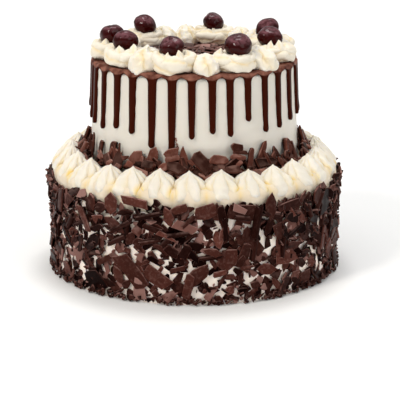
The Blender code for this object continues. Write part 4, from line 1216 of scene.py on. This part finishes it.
# %% [markdown]
# ## Flat flakes, chips and crumbs
# The first layer lies flat in the cream and nearly covers it. Chips fill what is between, and a rim
# of crumbs lies at the foot, where they fell and stuck. Flakes scattered quite at random would leave
# clumps and bare patches, so each layer is an uneven grid with one flake in each cell, and some cells
# are left bare: more of them low on the side, where the slits of cream show.

# %% Flat flakes, chips and crumbs
FULLY_COATED_FROM = 0.075
CRUMBS_AT_THE_FOOT = 560


def layer(draw, rows, columns, kinds, sizes, thickness, out, tilt, lightest, gaps, on_top=True):
    """One layer of the coat: a flake in each cell of an uneven grid, some cells left bare."""
    parts = []
    for row in range(rows):
        for column in range(columns):
            angle = 2 * math.pi * (column + 0.5 * (row % 2) + draw.uniform(-0.5, 0.5)) / columns
            height = (row + 0.5 + draw.uniform(-0.5, 0.5)) / rows * coat_edge(angle)
            high = min(1.0, height / FULLY_COATED_FROM)
            bare = draw.random() < gaps[0] + (gaps[1] - gaps[0]) * high
            if bare or on_top and under_bold_piece(angle, height):
                continue
            parts.append(pressed_on(flake(draw, kinds, sizes, thickness), draw, angle, height,
                                    draw.uniform(*out) * (0.75 + 0.5 * high), draw.uniform(0, math.pi),
                                    tilt * (0.6 + 0.8 * high), drawn_tone(draw, lightest)))
    return parts


draw = random.Random(67)
flat = layer(draw, 13, 96, ("shard", "wedge", "plank", "leaf"), sizes=(0.0090, 0.0145),
             thickness=(0.0010, 0.0016), out=(0.0005, 0.0014), tilt=9, lightest=0.7, gaps=(0.24, 0.04),
             on_top=False)
make_piece("coat_flat_flakes", flat, side_chocolate, ["lower_tier"], smooth=False)
chips = layer(draw, 20, 110, ("shard", "wedge", "splinter"), sizes=(0.0026, 0.0066),
              thickness=(0.0008, 0.0016), out=(0.0008, 0.0036), tilt=34, lightest=0.9, gaps=(0.62, 0.36))
for _ in range(CRUMBS_AT_THE_FOOT):
    crumb = flake(draw, ("shard", "wedge"), (0.002, 0.0055), (0.001, 0.002))
    angle, height, out = draw.uniform(0, 2 * math.pi), draw.uniform(0.0, 0.006), draw.uniform(0.001, 0.0056)
    spin, tone = draw.uniform(0, math.pi), draw.uniform(0.0, 0.6)
    chips.append(pressed_on(crumb, draw, angle, height, out, spin, 40, tone))
make_piece("coat_chips", chips, side_chocolate, ["lower_tier"], smooth=False)
print("flat flakes:", len(flat), "chips:", len(chips))

# %% [markdown]
# ## Large flakes
# A middle layer tilts more and casts the small shadows that make the coat look deep. The largest
# flakes lie over it, in the places that the solid model gives them: the same numbers are drawn here
# in the same order as there, including those that only the solid's own shape uses.

# %% Large flakes
middle = layer(draw, 9, 60, ("shard", "wedge", "plank", "leaf", "splinter"), sizes=(0.0105, 0.0190),
               thickness=(0.0011, 0.0020), out=(0.0014, 0.0038), tilt=24, lightest=1.0, gaps=(0.34, 0.04))
SIDE_ROWS, SIDE_PER_ROW, SIDE_TOP = 5, 19, 0.0905
solid_draw, large = random.Random(11), []
for row in range(SIDE_ROWS):
    for column in range(SIDE_PER_ROW):
        angle = (column + 0.5 * (row % 2) + solid_draw.uniform(-0.26, 0.26)) * 2 * math.pi / SIDE_PER_ROW
        height = (row + 0.5 + solid_draw.uniform(-0.2, 0.2)) * SIDE_TOP / SIDE_ROWS
        out, _ = solid_draw.uniform(0.0012, 0.0024), solid_draw.uniform(-14, 14)
        spin, _ = solid_draw.uniform(0, math.pi), solid_draw.uniform(-14, 14)
        length, _ = solid_draw.uniform(0.016, 0.026), solid_draw.uniform(0.008, 0.013)
        for _ in range(solid_draw.choice((4, 4, 5))):
            solid_draw.uniform(0.74, 1.12)
        height = min(height, coat_edge(angle) - 0.004)
        part = flake(draw, ("shard", "plank", "plank", "wedge", "leaf"), (length, 1.15 * length),
                     (0.0016, 0.0026))
        if under_bold_piece(angle, height):
            continue
        large.append(pressed_on(part, draw, angle, height, out + 0.0016, spin, 12, drawn_tone(draw)))
make_piece("coat_large_flakes", middle + large, side_chocolate, ["lower_tier"], smooth=False)
print("middle flakes:", len(middle), "large flakes:", len(large))

# %% [markdown]
# ## The fringe and the curls
# The upper edge of the coat is ragged. Flakes stand up from it, at all angles but mostly upright, and
# overlap the cream by a few millimetres. The layers below end in an even line, which would look cut,
# so this fringe is a layer of its own. Curls of thin chocolate are scattered over the upper half.

# %% The fringe and the curls
FRINGE_COUNT, CURL_COUNT = 150, 60
FRINGE_KINDS = ("leaf", "leaf", "wedge", "plank", "splinter", "shard")
draw, fringe = random.Random(62), []
for i in range(FRINGE_COUNT):
    angle = 2 * math.pi * (i + draw.uniform(-0.45, 0.45)) / FRINGE_COUNT
    part = flake(draw, FRINGE_KINDS, (0.009, 0.019), (0.0012, 0.002))
    spin = math.radians(90 + draw.choice((0, 0, 55, -55, 90)) + draw.gauss(0, 22))
    half = 0.5 * float(np.ptp(part[0][:, 0]))
    height = coat_edge(angle) - 0.9 * half * abs(math.sin(spin)) - draw.uniform(-0.0060, 0.006)
    if under_bold_piece(angle, height):
        continue
    fringe.append(pressed_on(part, draw, angle, height, draw.uniform(0.0020, 0.0058), spin, 28,
                             drawn_tone(draw), above=0.0075))
for i in range(CURL_COUNT):
    angle = 2 * math.pi * (i + draw.uniform(-0.4, 0.4)) / CURL_COUNT
    spin = math.radians(draw.choice((80, 60, 20, 100, -20)) + draw.gauss(0, 16))
    part = curl(draw, (0.012, 0.021), (0.0020, 0.0032))
    height, out = draw.uniform(0.040, 0.080), draw.uniform(0.0026, 0.0050)
    fringe.append(pressed_on(part, draw, angle, height, out, spin, 7, draw.uniform(0.0, 0.35)))
make_piece("coat_fringe_and_curls", fringe, side_chocolate, ["lower_tier"], smooth=False)
print("fringe flakes and curls:", len(fringe))

# %% [markdown]
# ## The listed pieces of the side
# The listed pieces go on last. They could be drawn like the others, but these are the ones by which
# this cake is known. They may rise further above the edge of the coat and stand out further than the
# others, since they lie over them.

# %% The listed pieces of the side
draw, bold = random.Random(63), []
for kind, degrees, height, length, width, turn, out, tone in BOLD_PIECES:
    part = flake(draw, (kind,), (0.001 * length, 0.001 * length), (0.0018, 0.0028), 0.001 * width)
    bold.append(pressed_on(part, draw, math.radians(degrees), 0.001 * height, 0.001 * out,
                           math.radians(turn), 3, tone, above=0.0110, further=0.003))
for degrees, height, length, radius, turn, out, tone in BOLD_ROLLS:
    part = curl(draw, (0.001 * length, 0.001 * length), (0.001 * radius, 0.001 * radius))
    bold.append(pressed_on(part, draw, math.radians(degrees), 0.001 * height, 0.001 * out,
                           math.radians(turn), 3, tone, above=0.0030, further=0.004))
make_piece("coat_bold_pieces", bold, side_chocolate, ["lower_tier"], smooth=False)
print("pieces listed one by one:", len(bold))

# %% [markdown]
# ## The broken chocolate at the foot of the upper tier
# Where the upper tier meets the lower one, a ring of larger broken pieces hides the joint. Some stand
# or lean against the cream, others lie in front of these, stacked, out to the border. Each piece is
# moved as a whole. Then it is lifted if it would sink into the shelf, and pushed outwards or inwards
# if it would enter the cream or stand out over the border.

# %% The broken chocolate at the foot of the upper tier
SHELF = LOWER_HEIGHT
FOOT_INNER = UPPER_FOOT_RADIUS + 0.0004


def placed(part, place, tone, lowest, highest=1.0, nearest=0.0, furthest=1.0):
    """A flake moved to its place, kept between two heights and between two radii."""
    points = moved(part[0], place)
    points[:, 2] += max(0.0, lowest - points[:, 2].min())
    points[:, 2] -= max(0.0, points[:, 2].max() - highest)
    radius = np.hypot(points[:, 0], points[:, 1])
    shift = max(0.0, nearest - radius.min()) - max(0.0, radius.max() - furthest)
    points[:, :2] *= ((radius + shift) / np.maximum(radius, 1e-4))[:, None]
    return toned(part, points, tone)


print("the shelf is", round(1000 * (BORDER_RING - UPPER_FOOT_RADIUS)), "mm wide up to the border's middle")

# %% [markdown]
# ## The listed pieces at the foot
# The pieces that show from the front differ too much in kind, size and lean to be drawn at random, so
# they are listed, each with the outline that comes nearest to it.

# %% The listed pieces at the foot
# (outline, degrees from the front, height over the shelf, radius, length, width, thickness, turn,
# lean, tone), sizes in mm
FOOT_PIECES = (
    ("splinter", -82, 16.5, 99.5, 29, 6.5, 3, 84, 20, 0.15),
    ("splinter", -72.9, 15.2, 99.5, 22, 5.3, 3, 78, 18, 0.06),
    ("leaf", -66.9, 18.9, 98, 21.2, 4.4, 2.2, 84, 8, 0.39),
    ("plank", -64.9, 6.8, 105.5, 17.7, 4.9, 3, -18, 35, 0.60),
    ("log", -57.3, 18, 98.5, 15.9, 4.4, 2.6, 88, 10, 0.24),
    ("wedge", -52.7, 14.2, 102, 10.6, 7.1, 2.6, -25, 30, 0.60),
    ("log", -46.4, 20.3, 99, 21.2, 7.1, 3, 86, 10, 0.18),
    ("wedge", -44, 11, 105, 8.8, 7.1, 2.4, 50, 30, 0.80),
    ("splinter", -41.3, 20.4, 98.5, 14.2, 3.2, 2, 96, 8, 0.30),
    ("splinter", -42.9, 19.7, 99.5, 13.3, 3.5, 2, 104, 8, 0.57),
    ("plank", -38.5, 10, 105, 8.8, 4, 2.4, -8, 40, 0.42),
    ("wedge", -37.6, 6.7, 107, 7.1, 5.3, 2.4, -20, 30, 0.06),
    ("wedge", -36.6, 17, 99.5, 7.1, 4.4, 2, 25, 20, 0.36),
    ("shard", -29.5, 18.6, 99, 15, 11.5, 3.2, 30, 20, 0.54),
    ("log", -21.9, 21.3, 99, 14.2, 12.4, 4, 80, 14, 0.57),
    ("plank", -21.9, 14.3, 102.5, 11.5, 8, 4, -4, 30, 0.03),
    ("plank", -25.6, 8, 107, 19.5, 5.8, 3, -16, 40, 0.80),
    ("wedge", -17.2, 16.2, 100.5, 6.2, 5.3, 2.4, 20, 20, 0.18),
    ("shard", -11.1, 24.8, 98.8, 15, 8.8, 3.2, 20, 16, 0.51),
    ("plank", -10.6, 20.5, 100.8, 14.2, 5.3, 2.4, 16, 22, 0.54),
    ("leaf", -5.1, 24.1, 99.8, 18.6, 8.8, 3, 92, 8, 0.54),
    ("shard", -8.1, 13.6, 104, 20.4, 10.6, 3, -26, 35, 0.12),
    ("plank", 3.9, 17.1, 101.5, 23, 11.5, 3.6, -52, 24, 0.12),
    ("wedge", -0.2, 18.7, 100.5, 8.8, 7.1, 2.6, 30, 20, 0.57),
    ("log", 11.8, 19.5, 100.5, 16.8, 8, 5, -5, 25, 0.57),
    ("plank", 17.2, 11.8, 104, 23, 8, 3.4, -8, 40, 0.21),
    ("log", 22, 28.6, 98.2, 12.4, 7.5, 4.5, -18, 12, 0.15),
    ("plank", 23.1, 24.4, 99.2, 15, 4, 3, -12, 16, 0.21),
    ("log", 21.8, 20.8, 100.2, 15.9, 5.3, 4, -12, 20, 0.60),
    ("wedge", 21.9, 15.5, 102, 7.1, 6.2, 3, 10, 25, 0.80),
    ("log", 28.3, 18.4, 101, 16.8, 4.9, 3, 76, 10, 0.45),
    ("wedge", 27.3, 10.8, 105.5, 5.3, 4.4, 2.4, 0, 30, 0.06),
    ("log", 34.9, 23.4, 98.6, 15, 5.3, 3.4, 60, 10, 0.45),
    ("log", 36.6, 13.1, 102, 25, 9, 5, -8, 25, 0.03),
    ("shard", 33.3, 6.9, 106.5, 17.7, 7.1, 3.2, 3, 40, 0.30),
    ("splinter", 40.4, 16.9, 99.5, 8, 3.5, 2.2, -60, 14, 0.18),
    ("wedge", 46.1, 18.6, 99, 12.4, 6.2, 2.4, -50, 12, 0.15),
    ("leaf", 47.3, 10.4, 103, 11.5, 6.2, 2.4, -60, 16, 0.39),
    ("log", 56, 22.5, 98.6, 15, 8, 4, 80, 10, 0.39),
    ("shard", 54.3, 13.1, 101, 14.2, 10.6, 3, 50, 16, 0.09),
    ("splinter", 63.5, 13.5, 99.5, 19.5, 6.2, 2.6, 94, 14, 0.33),
    ("leaf", 82.6, 15.5, 99.5, 29, 8, 3, 96, 20, 0.24),
    ("plank", 71.4, 6.4, 101.5, 12.4, 4.4, 2.6, 88, 6, 0.15),
    ("splinter", -92, 12, 100.5, 22, 6.5, 3, 80, 18, 0.20),
    ("wedge", -79, 8, 104, 15, 8, 3, 30, 30, 0.45), ("wedge", 77, 8, 104, 16, 9, 3, -30, 30, 0.15),
    ("splinter", 92, 12, 100.5, 22, 7, 3, 100, 18, 0.15),
)
print("listed pieces at the foot:", len(FOOT_PIECES))

# %% [markdown]
# ## Placing the listed pieces
# Each listed piece is turned in its own plane, then stood up and leaned back against the cream. A
# piece that stands nearly upright is made longer at its lower end until it reaches the shelf, because
# in the list it has only the length that shows over the pieces in front.

# %% Placing the listed pieces
UPRIGHT = 0.85
listed = []
draw = random.Random(72)
for kind, degrees, level, out, length, width, thick, turn, lean, tone in FOOT_PIECES:
    turned_up = math.sin(math.radians(turn))
    if turned_up > UPRIGHT:
        top = level + 0.5 * length * turned_up
        length, level = top / turned_up, 0.5 * top
    length, width, thick = 0.001 * length, 0.001 * width, 0.001 * thick
    part = flake(draw, (kind,), (length, length), (thick, thick), width)
    place = (standing_frame(math.radians(degrees), 0.001 * out, SHELF + 0.001 * level)
             @ Matrix.Rotation(math.radians(90 - lean), 4, "X")
             @ Matrix.Rotation(math.radians(turn), 4, "Z"))
    listed.append(placed(part, place, tone, SHELF, nearest=0.0938, furthest=0.1105))
make_piece("foot_listed_pieces", listed, foot_chocolate, ["foot_shavings"],
           smooth=False)
print("listed pieces placed:", len(listed), "of", COUNTS["foot_listed_pieces"], "triangles in all")

# %% [markdown]
# ## The standing pieces at the foot
# The other standing pieces are drawn, in the places and with the lean that the solid model gives
# them, each with a second one beside it. At the front they would hide the listed ones. So a drawn
# piece is left out there unless it is low enough, which the next function works out.

# %% The standing pieces at the foot
LISTED_TO, OPEN_HEIGHT, UNDER_LISTED = math.radians(105), 0.030, 4.0
# (up to this angle, in degrees, unlisted pieces may be so high), in mm
LOW_UP_TO = ((62, 2.5), (82, 9.0), (105, 22.0))


def foot_limit(angle):
    """How high the unlisted pieces may reach over the shelf: at the front, under the listed ones."""
    angle = (angle + math.pi) % (2 * math.pi) - math.pi
    if abs(angle) > LISTED_TO:
        return OPEN_HEIGHT
    tops = [next(top for degrees, top in LOW_UP_TO if abs(angle) <= math.radians(degrees))]
    for _, degrees, level, out, length, width, _, turn, _, _ in FOOT_PIECES:
        c, s = abs(math.cos(math.radians(turn))), abs(math.sin(math.radians(turn)))
        if abs(angle - math.radians(degrees)) * out < 0.5 * (length * c + width * s):
            tops.append(level + 0.5 * (length * s + width * c) - UNDER_LISTED)
    return 0.001 * max(tops)


STANDING_KINDS = ("leaf", "plank", "plank", "shard", "splinter", "wedge")
STANDING_THICK = ((0.0018, 0.0028), (0.0032, 0.0055))
FOOT_COUNT = 42
solid_draw, draw = random.Random(21), random.Random(71)
standing = []
for i in range(FOOT_COUNT):
    angle = 2 * math.pi * (i + solid_draw.uniform(-0.25, 0.25)) / FOOT_COUNT
    length, _ = solid_draw.uniform(0.015, 0.024), solid_draw.uniform(0.008, 0.012)
    out, height = solid_draw.uniform(0.003, 0.0045), solid_draw.uniform(0.009, 0.015)
    lean, spin = solid_draw.uniform(0, 16), solid_draw.uniform(-50, 50)
    for _ in range(solid_draw.choice((4, 4, 5))):
        solid_draw.uniform(0.74, 1.12)
    for second in range(2):
        part = flake(draw, STANDING_KINDS, (0.72 * length, 0.98 * length), draw.choice(STANDING_THICK))
        where = angle + 0.07 * second
        middle = SHELF + height * (1 - 0.25 * second) + 0.004
        place = (standing_frame(where, FOOT_INNER + out + 0.0028 * second, middle)
                 @ Matrix.Rotation(math.radians(90 - lean - 14 * second), 4, "X")
                 @ Matrix.Rotation(math.radians(90 + 1.3 * spin * (1 - 2 * second)), 4, "Z")
                 @ Matrix.Rotation(math.radians(draw.gauss(0, 22)), 4, "X"))
        piece = placed(part, place, drawn_tone(draw), SHELF, nearest=0.0938, furthest=0.108)
        if piece[0][:, 2].max() < SHELF + foot_limit(where):
            standing.append(piece)
make_piece("foot_standing_pieces", standing, foot_chocolate, ["foot_shavings"],
           smooth=False)
print("standing pieces:", len(standing))

# %% [markdown]
# ## The lying pieces at the foot
# In front of the standing pieces others lie, larger ones near the wall and flatter ones towards the
# border, with chips between them and a few curls on top. Each ring is evenly filled round the cake,
# so that no gap shows the bare shelf. A few crumbs stick to the smooth cream of the wall, beside
# one of the runs.

# %% The lying pieces at the foot
LYING_KINDS = ("shard", "plank", "plank", "wedge", "splinter")
LYING_THICK = ((0.0014, 0.0026), (0.0028, 0.0050))
# (radius, how many, lengths, heights over the shelf, leans in degrees)
LYING_RINGS = (
    (0.0985, 74, (0.007, 0.013), (0.004, 0.014), (35, 85)),
    (0.1015, 76, (0.007, 0.014), (0.003, 0.011), (5, 60)),
    (0.1050, 60, (0.007, 0.014), (0.001, 0.006), (0, 35)),
    (0.1080, 18, (0.010, 0.017), (0.005, 0.008), (-35, 0)),
    (0.1000, 130, (0.003, 0.007), (0.001, 0.016), (0, 80)),
    (0.1060, 110, (0.0025, 0.006), (0.0005, 0.007), (0, 50)),
)
lying = []
for ring, count, sizes, heights, leans in LYING_RINGS:
    for i in range(count):
        angle = 2 * math.pi * (i + draw.uniform(-0.5, 0.5)) / count
        part = flake(draw, LYING_KINDS, sizes, draw.choice(LYING_THICK))
        place = (standing_frame(angle, ring + draw.uniform(-0.002, 0.002), SHELF + draw.uniform(*heights))
                 @ Matrix.Rotation(math.radians(draw.uniform(*leans)), 4, "X")
                 @ Matrix.Rotation(math.radians(draw.gauss(0, 14)), 4, "Y")
                 @ Matrix.Rotation(draw.uniform(0, math.pi), 4, "Z"))
        piece = placed(part, place, drawn_tone(draw), SHELF + 0.0002, nearest=0.0940, furthest=0.1095)
        if piece[0][:, 2].max() < SHELF + foot_limit(angle):
            lying.append(piece)
FOOT_CURLS, ROOM_FOR_A_CURL = 16, 0.012
for i in range(FOOT_CURLS):
    angle = 2 * math.pi * (i + draw.uniform(-0.4, 0.4)) / FOOT_CURLS
    place = (standing_frame(angle, draw.uniform(0.0985, 0.103), SHELF + draw.uniform(0.006, 0.014))
             @ Matrix.Rotation(math.radians(draw.uniform(-70, 70)), 4, "Y"))
    if foot_limit(2 * math.pi * i / FOOT_CURLS) > ROOM_FOR_A_CURL:
        lying.append(placed(curl(draw, (0.010, 0.017), (0.0019, 0.0027)), place, draw.uniform(0.0, 0.6),
                            SHELF, nearest=0.0940, furthest=0.1105))
# (degrees from the front, height in metres)
WALL_CRUMBS = ((-9.6, 0.1368), (-9.3, 0.1352), (-9.4, 0.1334), (-8.9, 0.1318), (-8.6, 0.1302),
               (-8.2, 0.1290), (-9.2, 0.1290))
for degrees, height in WALL_CRUMBS:
    part = flake(draw, ("shard", "wedge"), (0.0010, 0.0022), (0.0006, 0.0012))
    place = (standing_frame(math.radians(degrees), upper_wall_radius(height) + 0.0003, height)
             @ Matrix.Rotation(math.pi / 2, 4, "X") @ Matrix.Rotation(draw.uniform(0, math.pi), 4, "Z"))
    lying.append(placed(part, place, draw.uniform(0.6, 1.2), SHELF))
make_piece("foot_lying_pieces", lying, foot_chocolate, ["foot_shavings"],
           smooth=False)
print("lying pieces and curls:", len(lying))

# %% [markdown]
# ## The shavings in the middle of the top
# Inside the wreath the glaze is covered with a low heap of fine shavings, deepest in the middle. From
# the front only a brown band of it shows between the rosettes. It is filled from the middle outwards
# in a sunflower pattern, each flake a golden angle further round, so that it has no clumps or rings.

# %% The shavings in the middle of the top
HEAP_RADIUS, HEAP_HEIGHT = 0.0500, 0.0040
GOLDEN_ANGLE = math.pi * (3 - math.sqrt(5))
# (how many, lengths, share of the heap's height that they lie on)
HEAP_LAYERS = ((150, (0.008, 0.016), 1.0), (420, (0.004, 0.009), 0.8), (480, (0.002, 0.0045), 0.6))
draw, heap = random.Random(31), []
for count, sizes, share in HEAP_LAYERS:
    for i in range(count):
        radius = HEAP_RADIUS * math.sqrt((i + 0.5) / count)
        mound = HEAP_HEIGHT * (1 - (radius / HEAP_RADIUS) ** 2)
        part = flake(draw, ("shard", "splinter", "plank", "wedge"), sizes, (0.0008, 0.0016))
        angle = i * GOLDEN_ANGLE + draw.uniform(-0.2, 0.2)
        height = GLAZE_TOP + 0.0006 + share * mound * draw.uniform(0.5, 1.2) + draw.uniform(0, 0.0014)
        place = (standing_frame(angle, radius, height) @ Matrix.Rotation(draw.uniform(0, 6.3), 4, "Z")
                 @ Matrix.Rotation(math.radians(draw.gauss(0, 18)), 4, "X"))
        heap.append(placed(part, place, drawn_tone(draw, 1.2), GLAZE_TOP - 0.0002,
                           highest=GLAZE_TOP + 0.0085))
make_piece("top_shavings_heap", heap, side_chocolate, ["top_shavings"], smooth=False)
print("shavings on the top:", len(heap))

# %% [markdown]
# ## Finish: cherry, stoned and in syrup
# A dark sweet cherry that has been stoned and kept in syrup is nearly black, with a red glow where the
# light goes through its skin. Its skin is slack, with wrinkles a few millimetres apart, which spread
# the reflection of the bright room to a broad, pinkish sheen on the upper shoulder. The syrup lies
# over it as a thin clear coat and gives small sparkles; the IOR of 1.40 is that of light syrup. The
# sheen is painted into the colour here, a painted reflection: it is strongest on the shoulder, fades
# on the crown, and is broken up by the same wrinkles as the bump. The specular reflection itself is
# kept weak and tinted red, because a strong white one would turn the dark fruit grey.

# %% Cherry, stoned and in syrup
syrup_cherry, tree, output = new_material("cherry_skin_in_syrup")
place = add(tree, "ShaderNodeTexCoord").outputs["Object"]
blush = add(tree, "ShaderNodeTexNoise", {"Vector": place, "Scale": 130.0, "Detail": 2.0})
skin = add(tree, "ShaderNodeMix", {0: blush.outputs["Fac"], 6: linear("#140000"), 7: linear("#420403")},
           data_type="RGBA")
wrinkles = add(tree, "ShaderNodeTexNoise", {"Vector": place, "Scale": 200.0, "Detail": 2.0,
                                            "Distortion": 1.2})
# Painted sheen: the upper shoulder is painted pinkish grey, fading on the crown and broken up by the
# wrinkles
up = add(tree, "ShaderNodeSeparateXYZ", {0: add(tree, "ShaderNodeNewGeometry").outputs["Normal"]})
above = add(tree, "ShaderNodeMapRange", {"Value": up.outputs["Z"], "From Min": 0.34, "From Max": 0.78,
                                         "To Max": 0.86})
crown = add(tree, "ShaderNodeMapRange", {"Value": up.outputs["Z"], "From Min": 0.72, "From Max": 0.97,
                                         "To Min": 1.0, "To Max": 0.30})
shoulder = add(tree, "ShaderNodeMath", {0: above.outputs[0], 1: crown.outputs[0]}, operation="MULTIPLY")
folds = add(tree, "ShaderNodeMapRange", {"Value": wrinkles.outputs["Fac"], "From Min": 0.28,
                                         "From Max": 0.70})
painted_sheen = add(tree, "ShaderNodeMath", {0: shoulder.outputs[0], 1: folds.outputs[0]}, operation="MULTIPLY")
sheen_on_skin = add(tree, "ShaderNodeMix", {0: painted_sheen.outputs[0], 6: skin.outputs[2], 7: linear("#8C5C64")},
            data_type="RGBA")
bump = add(tree, "ShaderNodeBump", {"Height": wrinkles.outputs["Fac"], "Strength": 0.7, "Distance": 0.0009})
surface = add(tree, "ShaderNodeBsdfPrincipled", {
    "Base Color": sheen_on_skin.outputs[2], "Roughness": 0.24, "IOR": 1.40, "Specular IOR Level": 0.08,
    "Specular Tint": linear("#C87078"), "Coat Weight": 0.40, "Coat Roughness": 0.05, "Coat IOR": 1.40,
    "Normal": bump.outputs["Normal"]})
tree.links.new(surface.outputs[0], output.inputs["Surface"])
print("made", syrup_cherry.name)

# %% [markdown]
# ## The cherries
# Each cherry is a little wider than it is tall, with a dimple at the stalk, a seam down one side where
# it was stoned, and the slack lumps of cooked fruit. It is made as rings round its own axis, tilted
# its own way and sunk into its rosette. A sphere would do from afar, but eight equal spheres look
# like beads, so each cherry has a number of its own, picked from several.

# %% The cherries
SQUASHED = (1.05, 0.99, 0.86)
CHERRY_DRAWS = (7, 4, 7, 1, 5, 3, 5, 1)


def cherry(draw, rows=34, columns=60):
    """One cherry round its middle, with its stalk's dimple on top."""
    polar = np.linspace(0.02, math.pi - 0.02, rows)
    corner = np.linspace(0, 2 * math.pi, columns, endpoint=False)
    polar, corner = np.meshgrid(polar, corner, indexing="ij")
    polar, corner = polar.ravel(), corner.ravel()
    ball = np.stack((np.sin(polar) * np.cos(corner), np.sin(polar) * np.sin(corner), np.cos(polar)), -1)
    dimple = 0.13 * np.exp(-(polar / 0.40) ** 2) + 0.05 * np.exp(-((math.pi - polar) / 0.35) ** 2)
    off_seam = (corner - draw.uniform(0, 6.3) + math.pi) % (2 * math.pi) - math.pi
    seam = 0.045 * np.exp(-(off_seam / 0.20) ** 2) * np.sin(polar)
    slack = 0.034 * lumps(ball, 1.4, draw.randrange(999)) + 0.014 * lumps(ball, 0.6, draw.randrange(999))
    return ball * (1 - dimple - seam + slack)[:, None] * SQUASHED, grid_faces(rows, columns)


for i, (_, degrees, ring, radius, middle) in enumerate(ROSETTES):
    draw = random.Random(8 * CHERRY_DRAWS[i] + i)
    ball, faces = cherry(draw)
    tilt = Matrix.Rotation(draw.uniform(0, 6.3), 4, "Z") @ Matrix.Rotation(draw.uniform(0.3, 0.9), 4, "X")
    points = moved(ball * radius, tilt @ Matrix.Rotation(draw.uniform(0, 6.3), 4, "Z"))
    points = stand(points, math.radians(degrees), ring, GLAZE_TOP + middle)
    make_piece(f"cherry_fruit_{i + 1}", [(points, faces, {"crease": np.zeros(len(points))})], syrup_cherry,
               [f"cherry_{i + 1}"])
print("cherries:", len(ROSETTES), "of", COUNTS["cherry_fruit_1"], "triangles")

# %% [markdown]
# ## The finished cake
# The last cell prints how many triangles each piece has, and how many in all.

# %% The finished cake
print("triangles:", COUNTS, "in all:", sum(COUNTS.values()))
